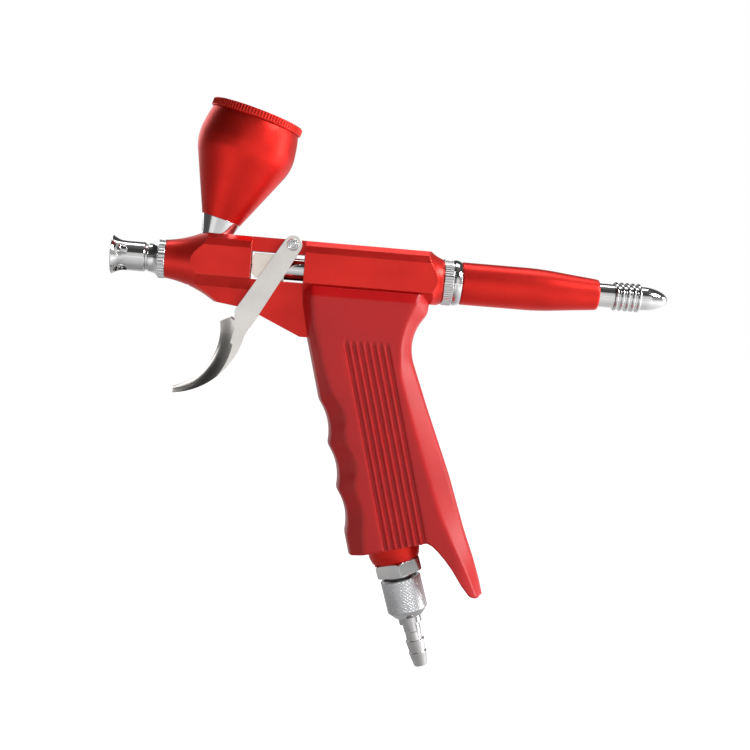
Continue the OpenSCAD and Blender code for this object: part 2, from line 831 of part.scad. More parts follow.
module guide_tube() {
    piston_d = tail_bore_d - 2 * RUN;
    color("silver") difference() {
        union() {
            rod(guide_stub_d, shuttle_end_x - guide_stub_len + FACE, shuttle_end_x + 1);
            rod(guide_d, shuttle_end_x, collar_step_x + 1);
            rod(piston_d, collar_step_x + FACE, collar_step_x + piston_len);
            rod(guide_tail_d, collar_step_x, chuck_x);
            rod(chuck_thread_d, chuck_x - 1, chuck_x + chuck_thread_len);
        }
        rod(guide_hole_d, shuttle_end_x + 2, chuck_x);
        rod(needle_hole_d, 0, FAR);
        translate([chuck_x + 1, -0.25, -FAR / 2]) cube([chuck_thread_len, 0.5, FAR]);
    }
}

module chuck_nut() {
    color("gold") difference() {
        rod(chuck_d, chuck_x + FACE, chuck_x + chuck_len);
        rod(chuck_thread_d + 2 * SEAT, chuck_x - 1, chuck_x + chuck_thread_len + FACE);
        rod(needle_hole_d, 0, FAR);
    }
}

module needle_spring() {
    spring_x = collar_step_x + piston_len + FACE;
    mid_d = (guide_tail_d + tail_bore_d) / 2;
    color("silver") translate([spring_x, 0, 0])
        coil(mid_d, spring_wire, retainer_x - FACE - spring_x, spring_turns);
}

module spring_retainer() {
    color("gold") pipe(retainer_d, guide_tail_d + 2 * RUN, retainer_x, retainer_end_x);
}

// ---------- tail ----------

module lock_ring() {
    r = ring_d / 2;
    bore = tail_bore_d / 2;
    color("silver") lathe([
        [bore, tail_x + FACE], [r - 0.2, tail_x + FACE], [r, tail_x + 0.25], [r, collar_x - 0.25],
        [r - 0.2, collar_x], [bore, collar_x]
    ]);
}

module tail_collar() {
    r = handle_d / 2;
    bore = tail_bore_d / 2;
    color("silver") lathe([
        [bore, collar_x], [r + 0.35, collar_x], [r + 0.45, collar_x + 0.5], [r + 0.3, collar_x + 1.3],
        [r, handle_x - 0.3], [r - 0.3, handle_x], [bore, handle_x]
    ]);
}

module tail_handle() {
    r = handle_d / 2;
    end_r = handle_end_d / 2;
    straight = 20.5;
    blend = 7;
    color("red") difference() {
        lathe([
            [0, handle_x + FACE], [r - 0.15, handle_x + FACE], [r, handle_x + 0.25], [r, handle_x + straight],
            [r - 0.1, handle_x + straight + blend * 0.4], [r - 0.35, handle_x + straight + blend],
            [end_r, handle_end_x - 0.9], [end_r - 0.25, handle_end_x - 0.3], [end_r - 0.8, handle_end_x],
            [0, handle_end_x]
        ]);
        rod(tail_bore_d, 0, chuck_x + chuck_len + chuck_room);
        rod(stop_rod_d + 2 * RUN, 0, FAR);
    }
}

module stop_rod() {
    color("silver") difference() {
        union() {
            rod(stop_rod_d, stop_x, knob_x - FACE);
            rod(stop_rod_d * 0.55, knob_x - 1, knob_x + 6);
        }
        rod(needle_d + 0.4, stop_x - 1, stop_x + 0.5);
    }
}

// Ribbed knob with an ogive point
module stop_knob() {
    root = stop_rod_d / 2;
    rib = knob_d / 2;
    neck_r = root - 0.05;
    ribs = [for (i = [0:knob_ribs - 1]) let (x = knob_x + i * rib_pitch)
        each [[root, x], [rib - 0.2, x + 0.1], [rib, x + 0.3], [rib, x + 0.75], [rib - 0.2, x + 0.95], [root, x + 1.05]]];
    ogive_steps = 8;
    ogive = [for (i = [0:ogive_steps]) let (t = i / ogive_steps)
        [neck_r * sqrt(1 - pow(t, 1.7)), knob_ribs_end_x + 0.8 + (knob_point - 0.8) * t]];
    color("silver") difference() {
        lathe(concat([[0, knob_x]], ribs, [[neck_r, knob_ribs_end_x]], ogive));
        rod(stop_rod_d * 0.55 + 2 * RUN, 0, knob_x + 6 + FACE);
    }
}

// ---------- air valve ----------

module valve_seat() {
    color("gold") translate([0, 0, valve_z]) difference() {
        rod(chamber_d - 2 * SEAT, chamber_x, chamber_x + seat_len);
        rod(stem_hole_d, 0, FAR);
        rod(seat_hole_d, chamber_x + 1.6, FAR);
        bar(gallery_d, [gallery_back_x, 0, 0], [gallery_back_x, gallery_y, gallery_z - valve_z]);
    }
}

module valve_stem() {
    color("gold") translate([0, 0, valve_z]) {
        rod(stem_d, stem_x, valve_head_x + EPS);
        rod(valve_head_d, valve_head_x, valve_head_x + valve_head_len);
        rod(stem_d, valve_head_x + valve_head_len - EPS, valve_head_x + valve_head_len + 2.5);
    }
}

module valve_seal() {
    color("dimgray") translate([0, 0, valve_z]) pipe(valve_head_d - 0.2, stem_d + 2 * SEAT, valve_seal_x, valve_head_x);
}

module valve_spring() {
    from = valve_head_x + valve_head_len + FACE;
    color("silver") translate([from, 0, valve_z])
        coil(stem_d + 2 * valve_spring_wire + 0.9, valve_spring_wire, valve_plug_x - FACE - from, 8);
}

module valve_plug() {
    color("gold") translate([0, 0, valve_z]) difference() {
        rod(chamber_d - 2 * SEAT, valve_plug_x, valve_plug_x + valve_plug_len);
        translate([valve_plug_x + valve_plug_len - 2.5, 0, 0]) rotate([0, 90, 0]) cylinder(d = 3.4, h = 4, $fn = 6);
    }
}

module air_tube() {
    color("silver") along_inlet() pipe(air_tube_d, tube_hole_d, tube_top_s + 0.1, tube_end_s);
}

// ---------- grip ----------

// Front edge of the grip at a depth, from the keel down
function grip_front(z) = grip_front_x + 2.6 + (-z - keel_depth + 0.6) * tan(grip_lean);

module grip_outline() {
    corner = [grip_corner_x, -grip_depth];
    spur = [grip_corner_x + 41.3, -grip_depth - 9];
    low = grip_depth;
    difference() {
        polygon([
            [grip_front_x, grip_top], [grip_front_x + 0.4, -9.5], [grip_front_x + 2.6, -keel_depth + 0.6], corner,
            [grip_corner_x + bottom_run, bottom_rise - grip_depth], [spur[0] - 5, spur[1] + 0.6], [spur[0] - 3, spur[1] - 0.9],
            [spur[0] - 1, spur[1] - 1], [spur[0], spur[1]], [rear_x + 49.5, -0.69 * low], [rear_x + 40.8, -0.45 * low],
            [rear_x + 35.8, -26], [rear_x + 38.5, -10.5], [rear_x + 38.9, grip_top - 1]
        ]);
        // Hollow behind the rear block
        translate([hollow_x, hollow_z]) circle(r = hollow_r, $fn = 120);
        // Finger scallops
        for (i = [0:scallops - 1]) {
            z = -38.7 - (i + 0.5) * scallop_pitch * cos(grip_lean);
            reach = scallop_r - scallop_depth;
            translate([grip_front(z) - reach * cos(grip_lean), z - reach * sin(grip_lean)])
                circle(r = scallop_r, $fn = 120);
        }
        // Hollow under the spur
        intersection() {
            translate([grip_corner_x + 14.4, -grip_depth - 18]) circle(r = 25.2, $fn = 120);
            translate([grip_corner_x + bottom_run - 0.3, -FAR]) square([FAR, FAR]);
        }
    }
}

// Prism that cuts a sloping face: it leaves an edge of the side face `across` behind the
// local Z axis and thins the grip by `deep` at that axis
module bevel_prism(across, deep, z0, z1) {
    half = grip_w / 2;
    far = 20;
    past = 2;
    slope = deep / across;
    for (side = [-1, 1])
        translate([0, 0, z0]) linear_extrude(z1 - z0) scale([1, side]) polygon([
            [across + past, half + past * slope], [-far, half + past * slope], [-far, half - deep - far * slope]
        ]);
}

// Sloping faces that thin the grip towards its front and rear edges
module grip_bevels() {
    half = grip_w / 2;
    translate([grip_front(-keel_depth), 0, -keel_depth]) rotate([0, -grip_lean, 0])
        bevel_prism(front_bevel, front_thin, -FAR, FAR);
    translate([rear_x + 35.8, 0, -26]) rotate([0, -21.3, 0]) mirror([1, 0, 0])
        bevel_prism(rear_bevel, rear_thin, -FAR, 0);
    // The same face round the hollow behind the rear block
    translate([hollow_x, 0, hollow_z]) rotate([90, 0, 0]) for (side = [0, 1]) mirror([0, 0, side])
        translate([0, 0, half - rear_thin])
            cylinder(r1 = hollow_r, r2 = hollow_r + 2 * hollow_bevel, h = 2 * rear_thin);
}

module grip_side_grooves() {
    top_x = rear_x + 20.2;
    for (side = [-1, 1])
        for (i = [0:grip_grooves - 1])
            translate([top_x + (i - (grip_grooves - 1) / 2) * groove_pitch, side * grip_w / 2, groove_top])
                rotate([0, -grip_lean, 0])
                    translate([-groove_w / 2, -groove_depth, -FAR]) cube([groove_w, 2 * groove_depth, FAR]);
}

module grip() {
    color("firebrick") difference() {
        side_plate(-grip_w / 2, grip_w / 2) grip_outline();
        grip_bevels();
        grip_side_grooves();
        // Room for the body's rear block and keel
        translate([0, 0, -cavity_gap]) block(rear_x - 2, tail_x, keel_join - EPS);
        translate([rear_x - 5, -keel_w / 2 - cavity_gap, -keel_depth - cavity_gap])
            cube([keel_back_x + 0.3 - rear_x + 5, keel_w + 2 * cavity_gap, keel_depth]);
        on_inlet_axis() {
            translate([0, 0, tube_top_s - 5]) cylinder(d = air_tube_d + 2 * cavity_gap, h = FAR);
            translate([0, 0, ferrule_s]) cylinder(d = ferrule_d + 2 * cavity_gap, h = ferrule_len + 4);
        }
    }
}

module grip_ferrule() {
    r = ferrule_d / 2;
    color("red") along_inlet() difference() {
        lathe([
            [0, ferrule_s], [r, ferrule_s], [r, ferrule_s + 1.4], [r - 0.35, hex_s - 1.4],
            [r - 0.75, hex_s - 0.4], [r - 1.2, hex_s], [0, hex_s]
        ]);
        rod(air_tube_d + 2 * SEAT, ferrule_s - 1, hex_s + 1);
    }
}

// ---------- inlet and coupling ----------

module inlet_nut() {
    r = hex_af / 2 / cos(30);
    bevel = 0.5;
    color("silver") along_inlet() difference() {
        intersection() {
            translate([hex_s, 0, 0]) rotate([0, 90, 0]) rotate([0, 0, 90]) cylinder(r = r, h = hex_h, $fn = 6);
            lathe([
                [0, hex_s], [r - bevel, hex_s], [r, hex_s + bevel], [r, hex_end_s - bevel],
                [r - bevel, hex_end_s], [0, hex_end_s]
            ]);
        }
        rod(air_tube_d + 2 * SEAT, hex_s - 1, tube_end_s + 0.1);
        rod(plug_stub_d, hex_s, hex_end_s + 1);
    }
}

module inlet_plug() {
    neck = plug_neck_d / 2;
    nose = plug_nose_d / 2;
    stub = plug_stub_d / 2 - SEAT;
    color("silver") along_inlet() difference() {
        lathe([
            [0, tube_end_s + 0.2], [stub, tube_end_s + 0.2], [stub, hex_end_s], [neck + 0.8, hex_end_s],
            [neck + 0.8, hex_end_s + 0.9], [neck, hex_end_s + 1.2], [neck, plug_groove_s],
            [plug_groove_d / 2, plug_groove_s], [plug_groove_d / 2, plug_groove_s + plug_groove_w],
            [nose, plug_groove_s + plug_groove_w], [nose, plug_end_s - 0.5], [nose - 0.5, plug_end_s], [0, plug_end_s]
        ]);
        rod(plug_hole_d, 0, FAR);
    }
}

module coupler_body() {
    body_r = coupler_d / 2;
    neck_r = coupler_neck_d / 2;
    color("gold") along_inlet() difference() {
        lathe([
            [0, socket_s], [body_r, socket_s], [body_r, flange_s - flange_ring_t],
            [flange_ring_d / 2, flange_s - flange_ring_t], [flange_ring_d / 2, flange_s], [neck_r, flange_s],
            [neck_r, coupler_end_s], [0, coupler_end_s]
        ]);
        rod(plug_neck_d + 2 * RUN, 0, plug_groove_s + plug_groove_w + 0.1);
        rod(plug_nose_d + 2 * RUN, 0, plug_end_s + 0.2);
        rod(plug_hole_d, 0, FAR);
        rod(barb_stub_d + 2 * SEAT, coupler_end_s - barb_stub_len - 0.1, coupler_end_s + 1);
        wire_ring(plug_nose_d + seal_ring_wire + 0.1, seal_ring_wire + 0.1, seal_ring_s);
        for (i = [0:ball_count - 1])
            translate([ball_s, 0, 0]) rotate([45 + i * 360 / ball_count, 0, 0]) cylinder(d = ball_d + 2 * RUN, h = coupler_d);
    }
}

module lock_balls() {
    color("lightgray") along_inlet() for (i = [0:ball_count - 1])
        translate([ball_s, 0, 0]) rotate([45 + i * 360 / ball_count, 0, 0])
            translate([0, 0, ball_pcd / 2]) sphere(d = ball_d);
}

module coupler_seal() {
    color("dimgray") along_inlet() wire_ring(plug_nose_d + seal_ring_wire + 0.06, seal_ring_wire, seal_ring_s);
}

module sleeve_spring() {
    from = sleeve_step_s + FACE;
    to = flange_s - flange_ring_t - FACE;
    color("silver") along_inlet() translate([from, 0, 0])
        coil((coupler_d + sleeve_room_d) / 2, sleeve_spring_wire, to - from, 3);
}

module coupler_sleeve() {
    r = sleeve_d / 2;
    edge = 0.3;
    color("silver") along_inlet() difference() {
        lathe([
            [0, sleeve_s], [r - edge, sleeve_s], [r, sleeve_s + edge], [r, sleeve_end_s], [0, sleeve_end_s]
        ]);
        rod(sleeve_bore_d, 0, FAR);
        rod(sleeve_bore_d + 1, 0, sleeve_s + relief_len);
        rod(sleeve_room_d, sleeve_step_s, FAR);
    }
}

module sleeve_cap() {
    color("silver") along_inlet() difference() {
        lathe([
            [0, sleeve_end_s - 0.9], [sleeve_room_d / 2 - SEAT, sleeve_end_s - 0.9],
            [sleeve_room_d / 2 - SEAT, sleeve_end_s], [sleeve_d / 2, sleeve_end_s],
            [cap_end_d / 2, sleeve_end_s + cap_bevel_len], [0, sleeve_end_s + cap_bevel_len]
        ]);
        rod(coupler_neck_d + 2 * RUN, 0, FAR);
    }
}

// Stepped hose barb: neck, two steps and a tapered point
module hose_barb() {
    top = coupler_end_s + FACE;
    r = barb_d / 2;
    neck_end = top + barb_neck_len;
    step_end = neck_end + barb_step_len;
    tip = step_end + barb_point_len;
    color("silver") along_inlet() difference() {
        lathe([
            [0, coupler_end_s - barb_stub_len], [barb_stub_d / 2, coupler_end_s - barb_stub_len],
            [barb_stub_d / 2, top], [r - 0.3, top], [r - 0.3, top + 2.6], [r - 0.45, top + 2.8],
            [r - 0.5, neck_end], [r, neck_end + 0.05],
            [r - 0.5, step_end], [r - 0.15, step_end + 0.05], [r - 0.95, tip - 0.1], [r - 1.05, tip], [0, tip]
        ]);
        rod(barb_hole_d, 0, FAR);
    }
}

needle_cap();
nozzle_cap();
fluid_nozzle();
nozzle_seal();
head_ring();
body();
needle();
needle_packing();
packing_screw();
cup_neck();
cup();
cup_lid();
lid_seal();
trigger();
pivot_screws();
drive_pins();
needle_shuttle();
guide_tube();
chuck_nut();
needle_spring();
spring_retainer();
lock_ring();
tail_collar();
tail_handle();
stop_rod();
stop_knob();
valve_seat();
valve_stem();
valve_seal();
valve_spring();
valve_plug();
air_tube();
grip();
grip_ferrule();
inlet_nut();
inlet_plug();
coupler_body();
lock_balls();
coupler_seal();
sleeve_spring();
coupler_sleeve();
sleeve_cap();
hose_barb();
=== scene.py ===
import math

import bmesh
import bpy
import numpy as np
from mathutils import Matrix, Vector


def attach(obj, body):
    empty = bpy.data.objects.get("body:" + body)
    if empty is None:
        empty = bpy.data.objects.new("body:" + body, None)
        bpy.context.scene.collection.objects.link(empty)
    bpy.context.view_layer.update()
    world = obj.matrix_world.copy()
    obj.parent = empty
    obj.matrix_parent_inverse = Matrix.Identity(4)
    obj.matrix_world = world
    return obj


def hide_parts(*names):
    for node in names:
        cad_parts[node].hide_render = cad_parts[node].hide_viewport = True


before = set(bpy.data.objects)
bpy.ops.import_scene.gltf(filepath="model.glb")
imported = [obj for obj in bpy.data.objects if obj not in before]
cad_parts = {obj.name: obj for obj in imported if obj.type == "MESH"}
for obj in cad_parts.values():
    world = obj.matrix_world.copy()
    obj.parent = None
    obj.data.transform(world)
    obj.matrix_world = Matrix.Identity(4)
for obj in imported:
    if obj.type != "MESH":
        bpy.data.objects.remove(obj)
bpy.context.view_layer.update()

MM = 0.001

# Stations along the needle axis, in millimetres behind the needle cap's rim
CAP_END = 10.1
NOSE = 16.2
RING = 100.0
COLLAR = 103.3
HANDLE = 105.8
HANDLE_END = 148.3
KNOB = 153.3

# Leans of the cup and of the inlet, in degrees
CUP_LEAN = 15.2
INLET_LEAN = 17.9

# Room left between pieces that seat on each other, in millimetres
SEAT = 0.05


class Axis:
    """A straight axis: its start, its direction and two directions across it."""

    def __init__(self, start, direction):
        self.start = Vector(start)
        self.along = Vector(direction).normalized()
        self.across = Vector((0, 1, 0)) if abs(self.along.y) < 0.9 else Vector((1, 0, 0))
        self.up = self.along.cross(self.across)

    def point(self, radius, turn, station):
        side = self.across * math.cos(turn) + self.up * math.sin(turn)
        return (self.start + self.along * station + side * radius) * MM

    def matrix(self):
        """Turns +Z into the axis, for pieces made upright in metres."""
        turned = Matrix((self.across, self.up, self.along)).transposed()
        if turned.determinant() < 0:
            turned = Matrix((self.up, self.across, self.along)).transposed()
        return Matrix.Translation(self.start * MM) @ turned.to_4x4()


needle_line = Axis((0, 0, 0), (1, 0, 0))
cup_lean = math.radians(CUP_LEAN)
cup_line = Axis((31.75, 0, 13.2), (math.sin(cup_lean), 0, math.cos(cup_lean)))
inlet_lean = math.radians(INLET_LEAN)
inlet_line = Axis((92.28, 0, -83.38), (math.sin(inlet_lean), 0, -math.cos(inlet_lean)))


# ---------- materials ----------

class Shader:
    """A new material with a Principled shader and short ways to add nodes."""

    def __init__(self, name, **sockets):
        self.material = bpy.data.materials.new(name)
        self.material.use_nodes = True
        self.tree = self.material.node_tree
        self.shader = self.tree.nodes["Principled BSDF"]
        for socket, value in sockets.items():
            self.shader.inputs[socket.replace("_", " ")].default_value = value
        self.place = self.node("ShaderNodeTexCoord").outputs["Object"]

    def node(self, kind, inputs=None, **settings):
        made = self.tree.nodes.new(kind)
        for key, value in settings.items():
            setattr(made, key, value)
        for key, value in (inputs or {}).items():
            if isinstance(value, bpy.types.NodeSocket):
                self.tree.links.new(value, made.inputs[key])
            else:
                made.inputs[key].default_value = value
        return made

    def noise(self, scale, detail=3.0, stretch=None):
        place = self.place
        if stretch:
            place = self.node("ShaderNodeMapping", {"Vector": place, "Scale": stretch}).outputs[0]
        inputs = {"Vector": place, "Scale": scale, "Detail": detail}
        return self.node("ShaderNodeTexNoise", inputs).outputs["Fac"]

    def ramp(self, value, stops):
        made = self.node("ShaderNodeValToRGB", {"Fac": value})
        band = made.color_ramp
        while len(band.elements) < len(stops):
            band.elements.new(0.5)
        for element, (at, colour) in zip(band.elements, stops):
            element.position = at
            element.color = (*colour, 1) if len(colour) == 3 else colour
        return made.outputs["Color"]

    def spread(self, value, low, high, start=0.0, stop=1.0):
        inputs = {"Value": value, "From Min": start, "From Max": stop, "To Min": low, "To Max": high}
        return self.node("ShaderNodeMapRange", inputs).outputs["Result"]

    def edges(self, radius):
        """Where the surface turns sharply: 0 on flats, towards 1 on edges."""
        soft = self.node("ShaderNodeBevel", {"Radius": radius}, samples=4).outputs["Normal"]
        hard = self.node("ShaderNodeNewGeometry").outputs["Normal"]
        dot = self.node("ShaderNodeVectorMath", {0: soft, 1: hard}, operation="DOT_PRODUCT")
        inputs = {"Value": dot.outputs["Value"], "From Min": 0.995, "From Max": 0.85}
        return soft, self.node("ShaderNodeMapRange", inputs).outputs["Result"]

    def mix(self, amount, first, second):
        made = self.node("ShaderNodeMix", data_type="RGBA")
        for socket, value in ((0, amount), (6, first), (7, second)):
            if isinstance(value, bpy.types.NodeSocket):
                self.tree.links.new(value, made.inputs[socket])
            else:
                made.inputs[socket].default_value = (*value, 1) if socket else value
        return made.outputs[2]

    def maths(self, operation, first, second):
        return self.node("ShaderNodeMath", {0: first, 1: second}, operation=operation).outputs[0]

    def bump(self, height, strength, distance, normal=None):
        inputs = {"Height": height, "Strength": strength, "Distance": distance}
        if normal:
            inputs["Normal"] = normal
        return self.node("ShaderNodeBump", inputs).outputs["Normal"]

    def set(self, socket, value):
        self.tree.links.new(value, self.shader.inputs[socket])


# Colour of rubbed nickel edges, and the height in metres over which the finger pad's polish fades out
EDGE_NICKEL = (0.93, 0.92, 0.91)
PAD_FADE = 0.007


def anodised(name, light, dark, edge, roughness, metallic=0.75, lathe=None):
    """Satin anodised aluminium: fine grain, clouded depth of dye and paler worn edges."""
    made = Shader(name, Metallic=metallic, Specular_IOR_Level=0.5)
    cloud = made.noise(90.0, 4.0)
    dye = made.ramp(cloud, [(0.3, dark), (0.7, light)])
    soft, worn = made.edges(0.00025)
    scuff = made.noise(1400.0, 2.0)
    made.set("Base Color", made.mix(made.maths("MULTIPLY", worn, scuff), dye, edge))
    grain = made.noise(9000.0, 2.0)
    made.set("Roughness", made.spread(made.noise(600.0, 5.0), roughness - 0.05, roughness + 0.06))
    normal = made.bump(grain, 0.10, 0.00002, soft)
    if lathe:
        lines = made.noise(1.0, 1.0, lathe)
        normal = made.bump(lines, 0.12, 0.00002, normal)
    made.set("Normal", normal)
    return made.material


def plated(name, light, dark, low, high, grain=0.06, lathe=None, pad_top=None):
    """Bright or satin nickel: slight clouding, turning marks and brighter edges. pad_top is the height in
    metres below which the trigger's finger pad is more polished."""
    made = Shader(name, Metallic=1.0)
    cloud = made.noise(160.0, 4.0)
    metal = made.ramp(cloud, [(0.35, dark), (0.68, light)])
    soft, worn = made.edges(0.00018)
    made.set("Base Color", made.mix(worn, metal, EDGE_NICKEL))
    rough = made.spread(made.noise(500.0, 6.0), low, high)
    if pad_top:
        height = made.node("ShaderNodeSeparateXYZ", {0: made.place}).outputs["Z"]
        rough = made.maths("MULTIPLY", rough, made.spread(height, 0.80, 1.0, pad_top - PAD_FADE, pad_top))
    made.set("Roughness", rough)
    normal = made.bump(made.noise(7000.0, 3.0), grain, 0.00002, soft)
    if lathe:
        normal = made.bump(made.noise(1.0, 1.0, lathe), 0.10, 0.000015, normal)
    made.set("Normal", normal)
    return made.material


def moulded(name, light, dark, edge, roughness):
    """Moulded grip: matte skin with a fine pebble and rubbed edges."""
    made = Shader(name, Metallic=0.0, Specular_IOR_Level=0.42)
    cloud = made.noise(60.0, 4.0)
    skin = made.ramp(cloud, [(0.3, dark), (0.72, light)])
    soft, worn = made.edges(0.0004)
    made.set("Base Color", made.mix(worn, skin, edge))
    made.set("Roughness", made.spread(made.noise(900.0, 4.0), roughness - 0.05, roughness + 0.07))
    pebble = made.noise(3800.0, 3.0)
    made.set("Normal", made.bump(pebble, 0.16, 0.00003, soft))
    return made.material


def plain(name, light, dark, low, high, metallic=0.0, scale=400.0):
    """Small hidden pieces: clouded colour, uneven gloss and a light grain."""
    made = Shader(name, Metallic=metallic)
    made.set("Base Color", made.ramp(made.noise(scale, 4.0), [(0.3, dark), (0.7, light)]))
    made.set("Roughness", made.spread(made.noise(scale * 2.3, 3.0), low, high))
    made.set("Normal", made.bump(made.noise(scale * 12, 2.0), 0.1, 0.00002))
    return made.material


# Stretch of the noise that draws turning marks round the needle axis
ROUND_X = (30000.0, 300.0, 300.0)
RED, RED_DARK, RED_EDGE = (0.78, 0.024, 0.016), (0.66, 0.016, 0.011), (1.0, 0.22, 0.16)
body_red = anodised("body_red", RED, RED_DARK, RED_EDGE, 0.36, 0.62)
turned_red = anodised("turned_red", RED, RED_DARK, RED_EDGE, 0.38, 0.76, ROUND_X)
cup_red = anodised("cup_red", (0.76, 0.022, 0.015), (0.66, 0.015, 0.010), RED_EDGE, 0.37, 0.82)
grip_red = moulded("grip_red", (0.56, 0.0045, 0.006), (0.47, 0.003, 0.0045), (0.78, 0.05, 0.05), 0.32)
bright_nickel = plated("bright_nickel", (0.74, 0.73, 0.72), (0.62, 0.62, 0.63), 0.06, 0.13, 0.03)
turned_nickel = plated("turned_nickel", (0.76, 0.75, 0.74), (0.64, 0.64, 0.65), 0.07, 0.15, 0.03, ROUND_X)
satin_nickel = plated("satin_nickel", (0.80, 0.77, 0.74), (0.73, 0.70, 0.67), 0.28, 0.35, 0.10,
                      pad_top=-0.012)
cream_nickel = plated("cream_nickel", (0.90, 0.82, 0.74), (0.80, 0.72, 0.64), 0.24, 0.34, 0.10)
knurl_nickel = plated("knurl_nickel", (0.88, 0.89, 0.91), (0.78, 0.79, 0.81), 0.26, 0.36, 0.06)
steel = plain("steel", (0.62, 0.62, 0.63), (0.48, 0.48, 0.50), 0.18, 0.30, 1.0)
brass = plain("turned_brass", (0.78, 0.55, 0.22), (0.62, 0.42, 0.16), 0.20, 0.34, 1.0)
rubber = plain("seal_rubber", (0.030, 0.030, 0.032), (0.016, 0.016, 0.018), 0.55, 0.75)
ptfe = plain("ptfe", (0.88, 0.88, 0.86), (0.80, 0.80, 0.78), 0.40, 0.55)

NODE_MATERIALS = {
    body_red: ["body"],
    satin_nickel: ["trigger", "drive_pins"],
    cream_nickel: ["needle_shuttle"],
    bright_nickel: ["inlet_nut", "coupler_body"],
    steel: ["needle", "air_tube", "lock_balls", "needle_spring", "valve_spring", "sleeve_spring"],
    brass: ["fluid_nozzle", "packing_screw", "chuck_nut", "spring_retainer", "valve_seat", "valve_stem",
            "valve_plug"],
    rubber: ["head_ring", "lid_seal", "valve_seal", "coupler_seal"],
    ptfe: ["nozzle_seal", "needle_packing"],
}
for material, nodes in NODE_MATERIALS.items():
    for node in nodes:
        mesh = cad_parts[node].data
        mesh.materials.clear()
        mesh.materials.append(material)


# ---------- making ----------

def curve(points, steps=6):
    """Smooth line through points, by Catmull-Rom."""
    ends = [points[0]] + list(points) + [points[-1]]
    out = []
    for i in range(1, len(ends) - 2):
        a, b, c, d = (np.array(ends[i + k], float) for k in (-1, 0, 1, 2))
        for k in range(steps):
            t = k / steps
            out.append(tuple(0.5 * (2 * b + (c - a) * t + (2 * a - 5 * b + 4 * c - d) * t ** 2
                                    + (3 * b - a - 3 * c + d) * t ** 3)))
    out.append(tuple(points[-1]))
    return out


def eased(outline, ease, closed):
    """Rounds the sharp corners of an outline, with a support point beside each round."""
    points = [np.array(p, float) for p in outline]
    count = len(points)
    out = []
    for i, point in enumerate(points):
        if not closed and i in (0, count - 1):
            out.append(tuple(point))
            continue
        before, after = points[i - 1] - point, points[(i + 1) % count] - point
        a, b = np.linalg.norm(before), np.linalg.norm(after)
        if a < 1e-6 or b < 1e-6:
            continue
        before, after = before / a, after / b
        bend = math.degrees(math.acos(max(-1, min(1, -before @ after))))
        reach = min(ease, 0.38 * a, 0.38 * b)
        if bend < 22 or reach < 0.01:
            out.append(tuple(point))
            continue
        out.append(tuple(point + before * reach * 1.3))
        for t in (0, 0.25, 0.5, 0.75, 1):
            out.append(tuple(point + before * reach * (1 - t) ** 2 + after * reach * t ** 2))
        out.append(tuple(point + after * reach * 1.3))
    return out


def solid(name, points, faces, material):
    """A closed smooth mesh whose faces point outwards."""
    mesh = bpy.data.meshes.new(name)
    mesh.from_pydata([tuple(p) for p in points], [], faces)
    work = bmesh.new()
    work.from_mesh(mesh)
    bmesh.ops.remove_doubles(work, verts=work.verts, dist=1e-7)
    bmesh.ops.recalc_face_normals(work, faces=work.faces)
    work.to_mesh(mesh)
    work.free()
    mesh.materials.append(material)
    mesh.shade_smooth()
    piece = bpy.data.objects.new(name, mesh)
    bpy.context.scene.collection.objects.link(piece)
    return piece


def turned(name, outline, axis, material, ease=0.12, segments=112, closed=False):
    """Turns an outline of (radius, station) points about an axis."""
    outline = eased(outline, ease, closed)
    points, faces, rings = [], [], []
    for radius, station in outline:
        if radius < 1e-6:
            rings.append([len(points)])
            points.append(axis.point(0, 0, station))
            continue
        rings.append(list(range(len(points), len(points) + segments)))
        points += [axis.point(radius, 2 * math.pi * k / segments, station) for k in range(segments)]
    pairs = list(zip(rings, rings[1:] + ([rings[0]] if closed else [])))
    for low, high in pairs:
        for k in range(segments):
            n = (k + 1) % segments
            corners = [low[k % len(low)], low[n % len(low)], high[n % len(high)], high[k % len(high)]]
            corners = list(dict.fromkeys(corners))
            if len(corners) > 2:
                faces.append(corners)
    return solid(name, points, faces, material)


def baked(piece):
    """Turns a piece's modifiers into plain mesh."""
    graph = bpy.context.evaluated_depsgraph_get()
    mesh = bpy.data.meshes.new_from_object(piece.evaluated_get(graph))
    piece.modifiers.clear()
    piece.data = mesh
    return piece


def drilled(piece, drills):
    """Cuts other pieces out of a piece."""
    for drill in drills:
        cut = piece.modifiers.new("cut", "BOOLEAN")
        cut.operation, cut.solver, cut.object = "DIFFERENCE", "EXACT", drill
    baked(piece)
    for drill in drills:
        bpy.data.objects.remove(drill)
    piece.data.set_sharp_from_angle(angle=math.radians(34))
    return piece


def done(piece, body, slot, *nodes):
    """Puts a finished piece on its body, in place of its CAD nodes. Its slot is not used."""
    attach(piece, body)
    if nodes:
        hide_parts(*nodes)
    return piece


# ---------- knurls and reeds ----------

def tree_inputs(tree, numbers):
    """Adds named number inputs to a geometry tree and returns its input node."""
    tree.interface.new_socket("Geometry", in_out="OUTPUT", socket_type="NodeSocketGeometry")
    for name, kind in numbers:
        tree.interface.new_socket(name, in_out="INPUT", socket_type=kind)
    return tree.nodes.new("NodeGroupInput").outputs


def tree_tools(tree):
    """Short ways to add a node and a sum to a geometry tree."""
    def add(kind, inputs=None, **settings):
        made = tree.nodes.new(kind)
        for key, value in settings.items():
            setattr(made, key, value)
        for key, value in (inputs or {}).items():
            if isinstance(value, bpy.types.NodeSocket):
                tree.links.new(value, made.inputs[key])
            else:
                made.inputs[key].default_value = value
        return made

    def sums(operation, first, second=0.0):
        return add("ShaderNodeMath", {0: first, 1: second}, operation=operation).outputs[0]

    return add, sums


